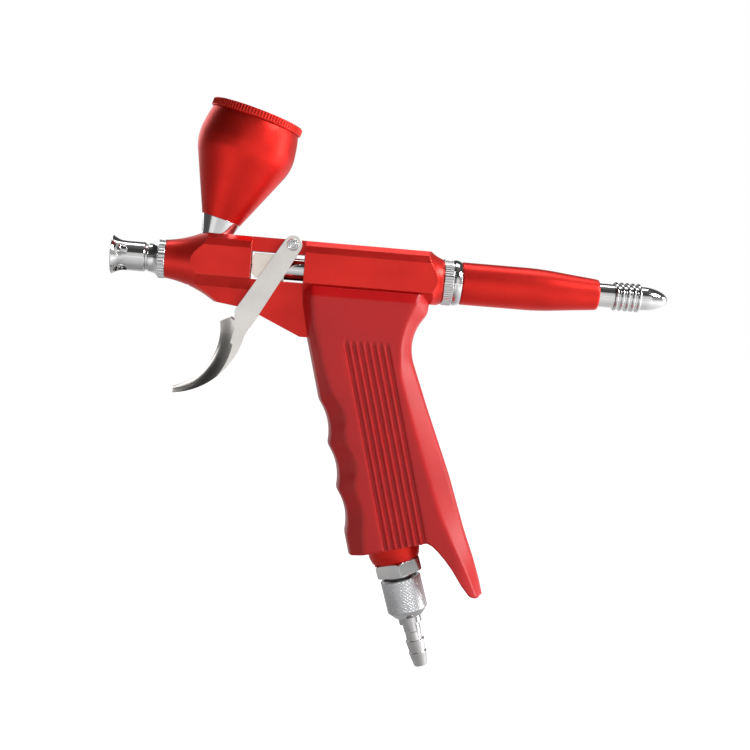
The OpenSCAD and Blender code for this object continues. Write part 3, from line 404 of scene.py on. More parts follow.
def knurl_tree():
    """Rows of small teeth round a cylinder that stands on the origin. Diamond rows are staggered."""
    tree = bpy.data.node_groups.new("knurl", "GeometryNodeTree")
    real, whole = "NodeSocketFloat", "NodeSocketInt"
    given = tree_inputs(tree, [
        ("Teeth Round", whole), ("Rows", whole), ("Row Pitch", real), ("Start", real), ("Radius", real),
        ("Tooth Sides", whole), ("Tooth Base", real), ("Tooth Tip", real), ("Tooth Height", real),
        ("Lie Flat", real), ("Material", "NodeSocketMaterial"),
    ])
    add, sums = tree_tools(tree)
    total = sums("MULTIPLY", given["Teeth Round"], given["Rows"])
    line = add("GeometryNodeMeshLine", {"Count": total})
    index = add("GeometryNodeInputIndex").outputs[0]
    row = sums("FLOOR", sums("DIVIDE", index, given["Teeth Round"]))
    column = sums("MODULO", index, given["Teeth Round"])
    shift = sums("MULTIPLY", sums("MODULO", row, 2.0), 0.5)
    step = sums("DIVIDE", 2 * math.pi, given["Teeth Round"])
    turn = sums("MULTIPLY", sums("ADD", column, shift), step)
    x = sums("MULTIPLY", sums("COSINE", turn), given["Radius"])
    y = sums("MULTIPLY", sums("SINE", turn), given["Radius"])
    z = sums("ADD", sums("MULTIPLY", row, given["Row Pitch"]), given["Start"])
    place = add("ShaderNodeCombineXYZ", {0: x, 1: y, 2: z}).outputs[0]
    points = add("GeometryNodeSetPosition", {"Geometry": line.outputs[0], "Position": place}).outputs[0]
    tooth = add("GeometryNodeMeshCone", {
        "Vertices": given["Tooth Sides"], "Radius Top": given["Tooth Tip"],
        "Radius Bottom": given["Tooth Base"], "Depth": given["Tooth Height"]}).outputs[0]
    tilt = sums("MULTIPLY", given["Lie Flat"], math.pi / 2)
    spin = add("ShaderNodeCombineXYZ", {0: 0.0, 1: tilt, 2: turn}).outputs[0]
    copies = add("GeometryNodeInstanceOnPoints", {"Points": points, "Instance": tooth, "Rotation": spin})
    plain_mesh = add("GeometryNodeRealizeInstances", {0: copies.outputs[0]}).outputs[0]
    finish = add("GeometryNodeSetMaterial", {"Geometry": plain_mesh, "Material": given["Material"]})
    out = tree.nodes.new("NodeGroupOutput")
    tree.links.new(finish.outputs[0], out.inputs[0])
    return tree


KNURL = knurl_tree()


def knurl(name, axis, material, **sizes):
    """Runs the knurl tree with sizes in millimetres and places the result on an axis."""
    mesh = bpy.data.meshes.new(name)
    piece = bpy.data.objects.new(name, mesh)
    bpy.context.scene.collection.objects.link(piece)
    steps = piece.modifiers.new("knurl", "NODES")
    steps.node_group = KNURL
    for item in KNURL.interface.items_tree:
        if item.in_out != "INPUT":
            continue
        key = item.name.lower().replace(" ", "_")
        if item.name == "Material":
            steps[item.identifier] = material
        elif item.socket_type == "NodeSocketInt":
            steps[item.identifier] = int(sizes[key])
        else:
            unit = 1.0 if key == "lie_flat" else MM
            steps[item.identifier] = float(sizes[key] * unit)
    baked(piece)
    piece.data.transform(axis.matrix())
    piece.data.shade_flat()
    return piece


def reeds(name, axis, material, teeth, radius, start, length, tooth):
    """Straight reeds along the axis, half sunk in the rim."""
    return knurl(name, axis, material, teeth_round=teeth, rows=1, row_pitch=1, start=start, radius=radius,
                 tooth_sides=6, tooth_base=tooth, tooth_tip=tooth, tooth_height=length, lie_flat=0)


# ---------- spray head and pivot screws ----------

CROSS_HOLE_R = 2.05
CROSS_HOLE_X = 2.95


def drill(turn):
    """A rod across the needle axis, turned about it by some degrees."""
    rod = bpy.data.meshes.new("drill")
    work = bmesh.new()
    radius = CROSS_HOLE_R * MM
    bmesh.ops.create_cone(work, cap_ends=True, segments=64, radius1=radius, radius2=radius, depth=0.03)
    place = Matrix.Translation((CROSS_HOLE_X * MM, 0, 0))
    work.transform(place @ Matrix.Rotation(math.radians(turn), 4, "X"))
    work.to_mesh(rod)
    work.free()
    piece = bpy.data.objects.new("drill", rod)
    bpy.context.scene.collection.objects.link(piece)
    return piece


def make_needle_cap():
    """Crown with a flared rim and four cross holes."""
    bore, counterbore, barrel = 3.6, 4.2, 4.4
    flare = curve([(5.8, 0.25), (5.32, 1.0), (4.8, 2.0), (4.52, 3.0), (barrel, 4.3)])
    shell = turned("needle_cap_shell", [(counterbore, 0), (5.66, 0)] + flare
                   + [(barrel, CAP_END - 0.25), (4.2, CAP_END), (bore, CAP_END), (bore, 0.8),
                      (counterbore, 0.8)],
                   needle_line, turned_nickel, closed=True)
    done(drilled(shell, [drill(66), drill(156)]), "gun_body", "nickel_plate", "needle_cap")


def make_air_cap():
    """Flared air cap with a reeded ring at its back."""
    ring_x, ring_r = NOSE - 2.1, 5.75
    shoulder = curve([(4.25, CAP_END + 1.0), (4.42, ring_x - 1.9), (4.75, ring_x - 1.1),
                      (5.3, ring_x - 0.35), (ring_r, ring_x)])
    front = [(1.3, 7.8), (3.57, 7.8), (3.57, CAP_END + SEAT), (3.9, CAP_END + SEAT), (3.9, CAP_END + 0.75)]
    inside = [(ring_r, NOSE - SEAT), (4.4, NOSE - SEAT), (4.4, NOSE - 3.6), (3.3, NOSE - 3.6), (3.3, 11.7),
              (1.3, 9.1)]
    shell = turned("air_cap_shell", front + shoulder + inside, needle_line, turned_nickel, closed=True)
    done(shell, "gun_body", "nickel_plate", "nozzle_cap")
    rim = reeds("air_cap_reeds", needle_line, knurl_nickel, 38, 5.62, ring_x + 0.12, 1.8, 0.33)
    done(rim, "gun_body", "nickel_plate")


def make_pivot_screws():
    """One shoulder screw on each side, with a ringed head and a recess."""
    pivot = (53.95, 0, 7.2)
    thread, shoulder = [(0, 2.1), (1.07, 2.1), (1.07, 4.5)], [(1.4, 4.5), (1.4, 6.65)]
    head = [(1.85, 6.65), (1.85, 6.98), (1.66, 7.2), (1.46, 7.2), (1.38, 7.0), (1.14, 7.0), (1.06, 7.2)]
    recess = [(0.86, 7.2), (0.80, 6.62), (0, 6.62)]
    for side, way, nodes in (("left", -1, ["pivot_screws"]), ("right", 1, [])):
        screw = turned("pivot_screw_" + side, thread + shoulder + head + recess, Axis(pivot, (0, way, 0)),
                       bright_nickel, 0.05, 64)
        done(screw, "gun_body", "nickel_plate", *nodes)


make_needle_cap()
make_air_cap()
make_pivot_screws()


# ---------- cup ----------

# Heights along the cup's axis
CUP_TOP = 31.2
LID = CUP_TOP + SEAT


def make_cup():
    """Open cup with a cone below and a round shoulder above."""
    socket, hole = 3.43, 1.5
    shoulder = curve([(13.75, 18.0), (14.45, 20.3), (14.72, 22.6), (14.70, 24.2), (14.40, 26.6),
                      (13.95, 29.2), (13.4, CUP_TOP)], 8)
    inside = curve([(12.4, 29.3), (12.85, 29.0), (13.3, 26.6), (13.6, 24.2), (13.55, 22.4), (13.2, 20.2),
                    (12.6, 18.0)], 8)
    outline = [(socket, 0.0), (6.0, 0.0)] + shoulder + [(12.4, CUP_TOP)] + inside
    outline += [(6.9, 5.4), (hole, 4.0), (hole, 3.0), (socket, 3.0)]
    cup = turned("paint_cup", outline, cup_line, cup_red, 0.1, 144, True)
    done(cup, "gun_body", "red_anodised", "cup")


def make_cup_neck():
    """Cone under the cup, with a bore and a spigot into the cup."""
    hole, root, top = 1.5, 4.3, 5.98
    outline = [(hole, -7.4), (root, -7.4), (root, -5.0), (top, -0.05), (top, 0.0), (3.4, 0.0), (3.4, 3.0),
               (hole, 3.0)]
    neck = turned("cup_neck_cone", outline, cup_line, bright_nickel, 0.08, 112, True)
    done(neck, "gun_body", "nickel_plate", "cup_neck")


def make_lid():
    """Push-in lid with a vent hole and fine reeds round its rim."""
    vent, plug_inner, plug_outer, rim = 0.75, 11.25, 12.25, 13.86
    plug_low, top = LID - 2.2, LID + 2.3
    outline = [(vent, LID), (plug_inner, LID), (plug_inner, plug_low), (plug_outer, plug_low),
               (plug_outer, LID), (rim, LID), (rim, top), (vent, top)]
    disc = turned("cup_lid_disc", outline, cup_line, cup_red, 0.18, 144, True)
    done(disc, "lid", "red_anodised", "cup_lid")
    edge = reeds("cup_lid_reeds", cup_line, cup_red, 92, 13.76, LID + 0.25, 1.8, 0.30)
    done(edge, "lid", "red_anodised")


make_cup()
make_cup_neck()
make_lid()


# ---------- tail ----------

TAIL_BORE_R = 4.5
STOP_ROD_R = 3.65


def make_lock_ring():
    """Ring with fine straight reeds."""
    low, high = RING + SEAT, COLLAR - 0.02
    outline = [(TAIL_BORE_R, low), (6.6, low), (6.93, RING + 0.3), (6.93, COLLAR - 0.3), (6.6, high),
               (TAIL_BORE_R, high)]
    core = turned("lock_ring_core", outline, needle_line, turned_nickel, 0.1, 112, True)
    done(core, "gun_body", "nickel_plate", "lock_ring")
    rim = reeds("lock_ring_reeds", needle_line, knurl_nickel, 60, 6.84, RING + 0.34, 2.62, 0.22)
    done(rim, "gun_body", "nickel_plate")


def make_tail_collar():
    """Polished collar with a rounded bulge."""
    bulge = curve([(6.7, COLLAR), (6.93, COLLAR + 0.5), (6.85, COLLAR + 1.3), (6.5, HANDLE - 0.35),
                   (6.2, HANDLE)])
    outline = [(TAIL_BORE_R, COLLAR)] + bulge + [(TAIL_BORE_R, HANDLE)]
    collar = turned("tail_collar_ring", outline, needle_line, bright_nickel, 0.1, 112, True)
    done(collar, "gun_body", "nickel_plate", "tail_collar")


def make_tail_handle():
    """Straight over its front half and tapered behind. Its bore narrows to guide the stop rod."""
    bore_step, rod_bore, low = 130.4, 3.7, HANDLE + SEAT
    taper = curve([(6.5, HANDLE + 20.5), (6.42, HANDLE + 23.3), (6.15, HANDLE + 27.5), (5.45, HANDLE + 34.5),
                   (4.72, HANDLE_END - 0.5)], 8)
    outline = [(TAIL_BORE_R, low), (6.32, low), (6.5, HANDLE + 0.3)] + taper
    outline += [(4.45, HANDLE_END), (rod_bore, HANDLE_END), (rod_bore, bore_step), (TAIL_BORE_R, bore_step)]
    handle = turned("tail_handle_shell", outline, needle_line, turned_red, 0.14, 128, True)
    done(handle, "gun_body", "red_anodised", "tail_handle")


def make_needle_stop():
    """Polished stop rod, and its knob with round ribs and a pointed end."""
    rod_start, stub_end, knob_hole_end = 137.4, KNOB + 5.9, KNOB + 6.1
    outline = [(0, rod_start + 0.5), (0.8, rod_start + 0.5), (0.8, rod_start), (STOP_ROD_R, rod_start),
               (STOP_ROD_R, KNOB - SEAT), (2.0, KNOB - SEAT), (2.0, stub_end), (0, stub_end)]
    rod = turned("needle_stop_rod", outline, needle_line, bright_nickel, 0.1)
    done(rod, "stop", "nickel_plate", "stop_rod")

    rib_count, rib_pitch, core = 5, 1.75, 3.6
    rib = [(3.62, 0.02), (4.2, 0.12), (4.4, 0.38), (4.4, 0.72), (4.2, 0.98), (3.62, 1.1)]
    ribs = [(radius, KNOB + i * rib_pitch + at) for i in range(rib_count) for radius, at in rib]
    point_x, point_len, steps = KNOB + rib_count * rib_pitch, 7.4, 20
    point = [(core * math.sqrt(max(0, 1 - (k / steps) ** 1.7)), point_x + 0.8 + point_len * k / steps)
             for k in range(steps + 1)]
    outline = [(0, knob_hole_end), (2.07, knob_hole_end), (2.07, KNOB)] + ribs + [(core, point_x)] + point
    knob = turned("needle_stop_knob", outline, needle_line, bright_nickel, 0.08)
    done(knob, "knob", "nickel_plate", "stop_knob")


make_lock_ring()
make_tail_collar()
make_tail_handle()
make_needle_stop()


# ---------- inlet and coupling ----------

# Stations along the inlet's axis
FERRULE = -2.4
HEX = 3.3
HEX_END = 7.3
SLEEVE = 8.9
SLEEVE_END = 19.0
COUPLER_END = 23.3


def make_ferrule():
    """Round boss between grip and nut."""
    tube_seat, outer = 3.53, 8.0
    rounding = curve([(outer, 0.6), (7.65, 1.9), (7.25, 2.9), (6.8, HEX)])
    outline = [(tube_seat, FERRULE), (outer, FERRULE), (outer, 0.6)] + rounding + [(tube_seat, HEX)]
    boss = turned("ferrule_boss", outline, inlet_line, turned_red, 0.12, 112, True)
    done(boss, "gun_body", "red_anodised", "grip_ferrule")


def make_plug():
    """Quick-coupling plug: stub in the nut, flange, neck groove and nose."""
    hole, stub, neck, nose, shank = 1.5, 2.57, 2.9, 3.4, 3.9
    outline = [(hole, 5.5), (stub, 5.5), (stub, HEX_END), (4.7, HEX_END), (4.7, HEX_END + 0.9),
               (shank, HEX_END + 1.2), (shank, 10.5), (neck, 10.5), (neck, 12.4), (nose, 12.4), (nose, 16.5),
               (neck, 17.0), (hole, 17.0)]
    plug = turned("inlet_plug_stem", outline, inlet_line, bright_nickel, 0.08, 96, True)
    done(plug, "gun_body", "nickel_plate", "inlet_plug")


def make_sleeve():
    """Release sleeve with a diamond knurl, and its bevelled end."""
    mouth, wall, spring_room, guide = 5.25, 6.12, 5.5, 4.75
    step, spring_start = SLEEVE + 1.6, SLEEVE + 4.1
    outline = [(mouth, SLEEVE), (5.95, SLEEVE), (wall, SLEEVE + 0.25), (wall, SLEEVE_END),
               (spring_room, SLEEVE_END), (spring_room, spring_start), (guide, spring_start), (guide, step),
               (mouth, step)]
    sleeve = turned("release_sleeve", outline, inlet_line, knurl_nickel, 0.1, 112, True)
    done(sleeve, "sleeve", "nickel_plate", "coupler_sleeve")
    diamonds = knurl("release_sleeve_knurl", inlet_line, knurl_nickel, teeth_round=34, rows=17,
                     row_pitch=0.56, start=SLEEVE + 0.62, radius=6.08, tooth_sides=4, tooth_base=0.55,
                     tooth_tip=0.33, tooth_height=0.20, lie_flat=1)
    done(diamonds, "sleeve", "nickel_plate")

    hole, plug_r, plug_low, top = 3.65, 5.47, SLEEVE_END - 0.9, SLEEVE_END + 2.2
    outline = [(hole, plug_low), (plug_r, plug_low), (plug_r, SLEEVE_END), (6.25, SLEEVE_END),
               (4.45, SLEEVE_END + 2.0), (4.2, top), (hole, top)]
    end = turned("release_sleeve_end", outline, inlet_line, bright_nickel, 0.12, 112, True)
    done(end, "sleeve", "nickel_plate", "sleeve_cap")


def make_barb():
    """Hose barb: stub in the coupler, collar, two steps and a tapered point."""
    hole, stub, collar = 1.25, 2.3, 2.7
    start, stub_low = COUPLER_END + SEAT, COUPLER_END - 3
    steps = [(collar, 0), (collar, 2.6), (2.55, 2.8), (2.5, 5.5), (3.0, 5.55), (2.5, 9.4), (2.85, 9.45),
             (2.05, 13.8), (1.95, 13.9), (hole, 13.9)]
    outline = [(hole, stub_low), (stub, stub_low), (stub, start)]
    outline += [(radius, start + at) for radius, at in steps]
    barb = turned("hose_barb_stem", outline, inlet_line, bright_nickel, 0.08, 96, True)
    done(barb, "coupler", "nickel_plate", "hose_barb")


def make_guide_tube():
    """Polished tube behind the shuttle, with a collar."""
    hole, seat, front, collar, tube, end = 0.66, 2.2, 3.35, 4.45, 2.5, 2.3
    outline = [(hole, 51.9), (seat, 51.9), (seat, 51.95), (front, 51.95), (front, 63.4), (collar, 63.4),
               (collar, 65.8), (tube, 65.8), (tube, 112.4), (end, 112.4), (end, 116.4), (hole, 116.4)]
    guide = turned("guide_tube_rod", outline, needle_line, bright_nickel, 0.06, 96, True)
    done(guide, "needle_drive", "nickel_plate", "guide_tube")


make_ferrule()
make_plug()
make_sleeve()
make_barb()
make_guide_tube()


# ---------- grip ----------

LEAN = math.tan(math.radians(15.5))
HALF_W = 9.5
TOP_Z = -4.4
BEVEL_Z = -7.2
BEVEL_IN, BEVEL_H = 1.5, 2.8
FRONT_BEVEL, REAR_BEVEL = 4.4, 4.8
TABLE_LOW, TABLE_STEP = -102, 0.1
SCALLOPS, SCALLOP_TOP, SCALLOP_PITCH, SCALLOP_R = 3, -38.7, 13.298, 17.4
WEB_TOP, WEB_LOW, WEB_X, WEB_Z, WEB_R = -10.5, -26, 106.5, -20.3, 14.1
GROOVES = [17.76 + (i - 3) * 2.05 for i in range(7)]
GROOVE_TOP = -20.0
GROOVE_DEPTH = 0.6
GROOVE_REACH, GROOVE_SLOPE, GROOVE_RUN_OUT = 0.80, 0.52, 0.9
SPUR_START, SPUR_LEN, SPUR_THIN = 108.0, 12.5, 0.42

# x by z along four lines of the grip: front and rear edge, and the creases of the two side bevels
FRONT_EDGE = [(0.0, 57.3), (-4.4, 57.5), (-9.5, 57.9), (-19.5, 60.1), (-85.3, 78.28), (-102, 82.9)]
REAR_EDGE = [(0.0, 96.9), (-4.4, 96.7), (-10.5, 96.36), (-26, 93.6), (-38.4, 98.6), (-58.9, 107.3),
             (-75.0, 113.2), (-84.0, 117.0), (-90.0, 119.2), (-94.3, 120.5), (-102, 122.8)]
FRONT_CREASE = [(0, 60.2), (-7.16, 60.45), (-14.8, 61.33), (-27.5, 65.34), (-35.8, 68.66), (-39.7, 72.08),
                (-43.1, 73.84), (-47, 73.54), (-50.9, 74.5), (-54.85, 77.26), (-58.8, 78.43), (-62.2, 77.75),
                (-66.6, 78.9), (-70.5, 81.17), (-75.4, 81.36), (-83.7, 82.14), (-102, 86.5)]
REAR_CREASE = [(0, 94.5), (-7.26, 92.11), (-12.8, 89.77), (-19.7, 88.5), (-29.4, 88.98), (-39.2, 92.4),
               (-49, 96.0), (-58.8, 99.7), (-68.5, 103.5), (-78.3, 108.7), (-88.1, 114.6), (-95, 118.6),
               (-102, 121.6)]
# The lower edge from its front corner to the spur, and (x, z) along the underside of the spur
FOOT_X, FOOT_Z, FOOT_RUN, FOOT_RISE = 78.28, -85.3, 23.6, 6.1
SPUR_FOOT_X = 101.88
SPUR = curve([(SPUR_FOOT_X, -79.2), (104.5, -81.3), (107.1, -83.9), (109.8, -87.1), (111.9, -90.0),
              (113.2, -92.0), (114.3, -93.5), (115.6, -94.7), (117.0, -95.3), (118.4, -95.35),
              (119.6, -94.8), (120.4, -93.6)], 8)


def lean_line(z):
    """The grip's front line without its scallops."""
    return 60.1 + (-z - 19.5) * LEAN


def smooth(xs, width):
    """Gaussian smoothing over a height in millimetres."""
    reach = int(4 * width / TABLE_STEP)
    bell = np.exp(-0.5 * (np.arange(-reach, reach + 1) * TABLE_STEP / width) ** 2)
    padded = np.pad(xs, reach, mode="reflect", reflect_type="odd")
    return np.convolve(padded, bell / bell.sum(), mode="valid")


def profile(points, softness, carve=None):
    """A smooth function of z that gives x along one line of the grip."""
    zs = np.arange(0, TABLE_LOW, -TABLE_STEP)
    at = sorted(points)
    xs = np.interp(zs, [z for z, _ in at], [x for _, x in at])
    if carve:
        xs = carve(zs, xs)
    softened = smooth(xs, softness)
    return lambda z: float(np.interp(-z, -zs, softened))


def finger_scallops(zs, xs):
    """Pushes the front line back along three arcs, one for each finger."""
    for i in range(SCALLOPS):
        middle = SCALLOP_TOP - (i + 0.5) * SCALLOP_PITCH
        centre_x, centre_z = lean_line(middle) - 15.42, middle - 4.276
        inside = np.maximum(0, SCALLOP_R ** 2 - (zs - centre_z) ** 2)
        xs = np.where(inside > 0, np.maximum(xs, centre_x + np.sqrt(inside)), xs)
    return xs


def thumb_web(zs, xs):
    """Draws the rear line in along an arc, for the web of the thumb."""
    hollow = (zs < WEB_TOP) & (zs > WEB_LOW)
    return np.where(hollow, WEB_X - np.sqrt(np.maximum(0, WEB_R ** 2 - (zs - WEB_Z) ** 2)), xs)


front = profile(FRONT_EDGE, 0.45, finger_scallops)
rear = profile(REAR_EDGE, 0.9, thumb_web)
front_crease = profile(FRONT_CREASE, 0.9)
rear_crease = profile(REAR_CREASE, 1.2)


def bottom(x):
    """Height of the grip's lower edge: straight in front, then the underside of the spur."""
    if x < SPUR_FOOT_X:
        return FOOT_Z + FOOT_RISE * (x - FOOT_X) / FOOT_RUN
    return float(np.interp(x, [point[0] for point in SPUR], [point[1] for point in SPUR]))


def ramp_down(reach, soften):
    """Near 0 before an edge and rising after it, with a soft start."""
    return 0.5 * (reach + math.sqrt(reach * reach + soften * soften)) - 0.25 * soften


def half_width(x, z):
    """Half the grip's width at a place on its side."""
    crease, edge = front_crease(z), front(z)
    y = HALF_W - FRONT_BEVEL * ramp_down(crease - x, 0.5) / max(2.0, crease - edge)
    crease, edge = rear_crease(z), rear(z)
    y = min(y, HALF_W - REAR_BEVEL * ramp_down(x - crease, 0.5) / max(2.0, edge - crease))
    y -= BEVEL_IN * ramp_down(z - BEVEL_Z, 0.35) / BEVEL_H
    along = x - lean_line(z)
    fade = min(1.0, max(0.0, (GROOVE_TOP - z) / GROOVE_RUN_OUT))
    for groove in GROOVES:
        gap = abs(along - groove)
        if gap < GROOVE_REACH:
            t = min(1.0, (GROOVE_REACH - gap) / GROOVE_SLOPE)
            y -= GROOVE_DEPTH * t * t * (3 - 2 * t) * fade
    tip = min(1.0, max(0.0, (x - SPUR_START) / SPUR_LEN))
    return y * (1 - SPUR_THIN * tip ** 3)


# The side's grid: columns from front to rear, each a band and a place in it, and rows from the top down
GROOVE_COLUMNS = (-0.84, -0.72, -0.58, -0.42, -0.26, 0.26, 0.42, 0.58, 0.72, 0.84)
COLUMNS = [("front", t) for t in (0, 0.06, 0.2, 0.4, 0.6, 0.78, 0.88, 0.94, 1)]
COLUMNS += [("front_flat", t) for t in (0.06, 0.14, 0.3, 0.5, 0.75)]
COLUMNS += [("groove", groove + shift) for groove in GROOVES for shift in GROOVE_COLUMNS]
COLUMNS += [("rear_flat", t) for t in (0.15, 0.3, 0.45, 0.58, 0.69, 0.78, 0.85, 0.9, 0.935, 0.96, 0.98)]
COLUMNS += [("rear", t) for t in (0, 0.06, 0.12, 0.24, 0.42, 0.6, 0.8, 0.93, 1)]
GROOVE_START, GROOVE_END = GROOVES[0] - 0.9, GROOVES[-1] + 0.9
FRONT_PULL, REAR_PULL = 0.8, 1.0
TOP_ROWS = [TOP_Z, -4.6, -5.2, -6.0, -6.6, -6.95, -7.2, -7.45, -7.9, -8.6]
MID_ROWS = 104
BOTTOM_ROUND = 0.7
ROUND_ROWS = [(0.7, 0.0), (0.45, 0.045), (0.26, 0.14), (0.12, 0.28), (0.03, 0.47), (0.0, 0.7)]
EDGE_TURNS = (0.94, 0.84, 0.68, 0.45, 0.2)


def column_x(kind, t, z):
    """x of a column at a height."""
    start, stop = lean_line(z) + GROOVE_START, lean_line(z) + GROOVE_END
    if kind == "front":
        low = front(z) + FRONT_PULL
        return low + (front_crease(z) - low) * t
    if kind == "front_flat":
        return front_crease(z) + (start - front_crease(z)) * t
    if kind == "groove":
        return lean_line(z) + t
    if kind == "rear_flat":
        return stop + (rear_crease(z) - stop) * t
    high = rear(z) - REAR_PULL
    return rear_crease(z) + (high - rear_crease(z)) * t


def lowest(kind, t):
    """Where a column meets the grip's lower edge."""
    z = -70.0
    while z > -96 and z > bottom(column_x(kind, t, z)):
        z -= 0.02
    return z


def grip_ring(heights, sink):
    """One closed ring of points. sink draws it in, to round the lower edge."""
    side = []
    for (kind, t), z in zip(COLUMNS, heights):
        x = column_x(kind, t, z)
        side.append((x, half_width(x, z) - sink, z))
    x, y, z = side[0]
    front_x = front(z)
    nose = [(front_x + (x - front_x) * c ** 3, y * c, z) for c in EDGE_TURNS]
    x, y, low = side[-1]
    rear_x = rear(low)
    back = [(rear_x + (x - rear_x) * c ** 3, y * c, low) for c in EDGE_TURNS]
    half = [(front_x + sink * 0.6, 0.0, z)] + nose[::-1] + side + back + [(rear_x - sink * 0.6, 0.0, low)]
    return half + [(px, -py, pz) for px, py, pz in half[-2:0:-1]]


def grip_rows():
    """Rings from the grip's top to its lower edge."""
    ends = [lowest(kind, t) for kind, t in COLUMNS]
    rows = [grip_ring([z] * len(COLUMNS), 0.0) for z in TOP_ROWS]
    top = TOP_ROWS[-1]
    for i in range(1, MID_ROWS):
        share = i / MID_ROWS
        rows.append(grip_ring([top + (end + BOTTOM_ROUND - top) * share for end in ends], 0.0))
    rows += [grip_ring([end + rise for end in ends], sink) for rise, sink in ROUND_ROWS]
    return rows


def make_grip():
    """Pistol grip with finger scallops, side bevels, seven grooves a side and a spur."""
    rows = grip_rows()
    count = len(rows[0])
    points = [(x * MM, y * MM, z * MM) for row in rows for x, y, z in row]
    faces = []
    for r in range(len(rows) - 1):
        for k in range(count):
            n = (k + 1) % count
            faces.append([r * count + k, r * count + n, (r + 1) * count + n, (r + 1) * count + k])
    for base in (0, (len(rows) - 1) * count):
        for k in range(count // 2):
            corners = [base + k, base + k + 1, base + (count - k - 1) % count, base + (count - k) % count]
            faces.append(list(dict.fromkeys(corners)))
    piece = solid("pistol_grip", points, faces, grip_red)
    piece.data.set_sharp_from_angle(angle=math.radians(50))
    done(piece, "gun_body", "grip_moulding", "grip")


make_grip()


# ---------- floor, lights and camera ----------

FLOOR_REACH = 4.0
FLOOR_Z = -0.150
MIDDLE_X = 0.07
WHITE = (1, 1, 1, 1)
# Where the floor's glow starts and where it is full, in metres from the point under the part
GLOW_REACH = (0.06, 0.34)
# The floor's glow round the part: share of a turn, from -X by way of -Y, and level
FLOOR_BANDS = [(0.0, 0.25), (0.06, 0.35), (0.10, 1.0), (0.16, 1.0), (0.20, 0.55), (0.30, 0.50), (0.40, 1.0),
               (0.55, 1.0), (0.75, 0.5), (1.0, 0.25)]
# The sky's light from straight below to straight above, and what it is scaled by towards -X and +X
SKY_BANDS = [(0.0, 0.5), (0.5, 0.8), (0.60, 0.95), (0.70, 0.22), (0.90, 0.16), (1.0, 0.5)]
SKY_FRONT, SKY_BACK = 0.22, 1.10
SKY_STRENGTH = 0.52

LENS_MM = 65.76
EYE = Vector((0.054034, -0.41768, -0.005387))
AIM = Vector((0.082034, 0.0, -0.030032))
ROLL = 0.082948


def floor():
    """White to the camera. To other rays it is dark under the part and glows further out, in bands."""
    mesh = bpy.data.meshes.new("floor")
    corners = [(x * FLOOR_REACH, y * FLOOR_REACH, FLOOR_Z) for x, y in ((-1, -1), (1, -1), (1, 1), (-1, 1))]
    mesh.from_pydata(corners, [], [(0, 1, 2, 3)])
    made = Shader("floor", Metallic=0.0, Roughness=0.6)
    greys = [(0.3, (0.40, 0.40, 0.40)), (0.7, (0.43, 0.43, 0.43))]
    made.set("Base Color", made.ramp(made.noise(6.0, 3.0), greys))
    made.shader.inputs["Emission Color"].default_value = WHITE
    inputs = {0: made.place, 1: (-MIDDLE_X, 0.0, -FLOOR_Z)}
    from_part = made.node("ShaderNodeVectorMath", inputs, operation="ADD").outputs[0]
    away = made.node("ShaderNodeVectorMath", {0: from_part}, operation="LENGTH").outputs["Value"]
    split = made.node("ShaderNodeSeparateXYZ", {0: from_part}).outputs
    share = made.spread(made.maths("ARCTAN2", split["Y"], split["X"]), 0.0, 1.0, -math.pi, math.pi)
    bands = made.ramp(share, [(at, (level, level, level)) for at, level in FLOOR_BANDS])
    glow = made.maths("MULTIPLY", made.spread(away, 0.0, 1.0, *GLOW_REACH), bands)
    seen = made.node("ShaderNodeLightPath").outputs["Is Camera Ray"]
    made.set("Emission Strength", made.maths("MAXIMUM", glow, seen))
    mesh.materials.append(made.material)
    piece = bpy.data.objects.new("floor", mesh)
    bpy.context.scene.collection.objects.link(piece)


def softbox(name, place, aim, width, height, power):
    """A rectangular area light that faces a point."""
    lamp = bpy.data.lights.new(name, "AREA")
    lamp.shape, lamp.size, lamp.size_y, lamp.energy = "RECTANGLE", width, height, power
    made = bpy.data.objects.new(name, lamp)
    made.location = place
    made.rotation_euler = (Vector(aim) - Vector(place)).to_track_quat("-Z", "Y").to_euler()
    bpy.context.scene.collection.objects.link(made)


def lights():
    """Two lights from +X, one high and one level, then one from -Y, one from above and one from +Y."""
    middle, grip = (0.06, 0.0, -0.02), (0.09, 0.0, -0.05)
    softbox("side_light", (0.52, -0.22, 0.36), middle, 0.18, 0.18, 3.0)
    softbox("right_light", (0.62, -0.02, -0.02), grip, 0.2, 0.5, 1.6)
    softbox("front_light", (0.20, -0.70, 0.10), middle, 0.8, 0.5, 0.65)
    softbox("top_light", (0.08, 0.16, 0.60), middle, 0.6, 0.22, 1.6)
    softbox("back_light", (-0.30, 0.50, 0.25), middle, 0.4, 0.4, 0.8)


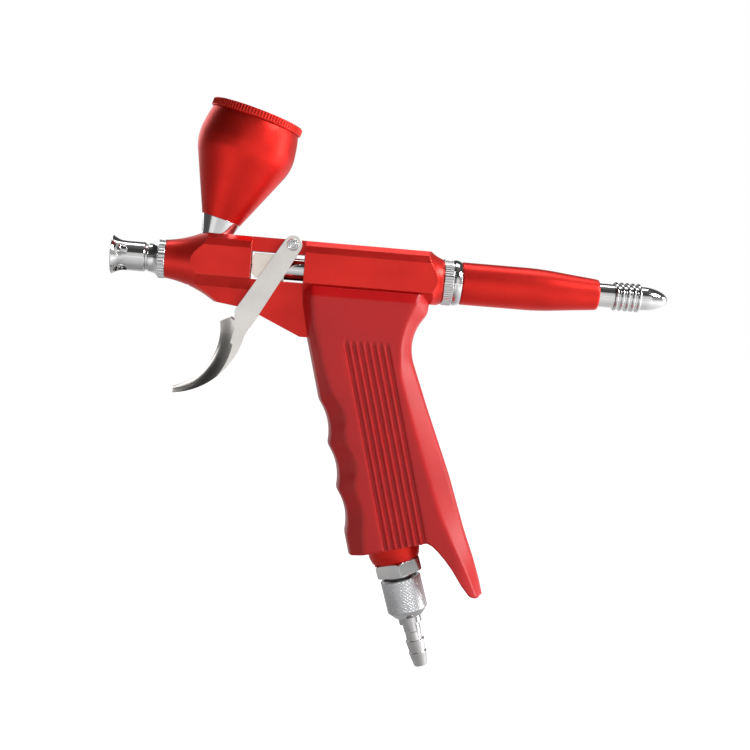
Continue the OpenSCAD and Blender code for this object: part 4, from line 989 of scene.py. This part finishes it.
def sky():
    """White to the camera. Its light is brightest near the horizon, weak high up and weaker towards -X."""
    world = bpy.data.worlds.new("studio")
    bpy.context.scene.world = world
    world.use_nodes = True
    tree = world.node_tree
    tree.nodes.clear()
    add, link = tree.nodes.new, tree.links.new
    place, split = add("ShaderNodeTexCoord"), add("ShaderNodeSeparateXYZ")
    link(place.outputs["Generated"], split.inputs[0])
    height = add("ShaderNodeMapRange")
    height.inputs["From Min"].default_value = -1.0
    link(split.outputs["Z"], height.inputs["Value"])
    ramp = add("ShaderNodeValToRGB")
    while len(ramp.color_ramp.elements) < len(SKY_BANDS):
        ramp.color_ramp.elements.new(0.5)
    for element, (at, level) in zip(ramp.color_ramp.elements, SKY_BANDS):
        element.position = at
        element.color = (level, level, level, 1)
    link(height.outputs["Result"], ramp.inputs["Fac"])
    side = add("ShaderNodeMapRange")
    for key, value in (("From Min", -1.0), ("To Min", SKY_FRONT), ("To Max", SKY_BACK)):
        side.inputs[key].default_value = value
    link(split.outputs["X"], side.inputs["Value"])
    sided = add("ShaderNodeMix")
    sided.data_type, sided.blend_type = "RGBA", "MULTIPLY"
    sided.inputs[0].default_value = 1.0
    link(ramp.outputs["Color"], sided.inputs[6])
    link(side.outputs["Result"], sided.inputs[7])
    seen, lit, out = add("ShaderNodeBackground"), add("ShaderNodeBackground"), add("ShaderNodeOutputWorld")
    link(sided.outputs[2], lit.inputs["Color"])
    seen.inputs["Color"].default_value = WHITE
    seen.inputs["Strength"].default_value = 1.0
    lit.inputs["Strength"].default_value = SKY_STRENGTH
    path, mix = add("ShaderNodeLightPath"), add("ShaderNodeMixShader")
    link(path.outputs["Is Camera Ray"], mix.inputs[0])
    link(lit.outputs[0], mix.inputs[1])
    link(seen.outputs[0], mix.inputs[2])
    link(mix.outputs[0], out.inputs["Surface"])


def camera():
    """Looks from EYE to AIM, rolled about that line."""
    lens = bpy.data.cameras.new("camera")
    lens.sensor_width, lens.lens = 36.0, LENS_MM
    made = bpy.data.objects.new("camera", lens)
    look = (AIM - EYE).normalized()
    right = look.cross(Vector((0, 0, 1))).normalized()
    up = right.cross(look)
    cos, sin = math.cos(ROLL), math.sin(ROLL)
    right, up = right * cos + up * sin, up * cos - right * sin
    made.matrix_world = Matrix.Translation(EYE) @ Matrix((right, up, -look)).transposed().to_4x4()
    bpy.context.scene.collection.objects.link(made)
    bpy.context.scene.camera = made


floor()
sky()
lights()
camera()
bpy.context.scene.view_settings.view_transform = "Standard"
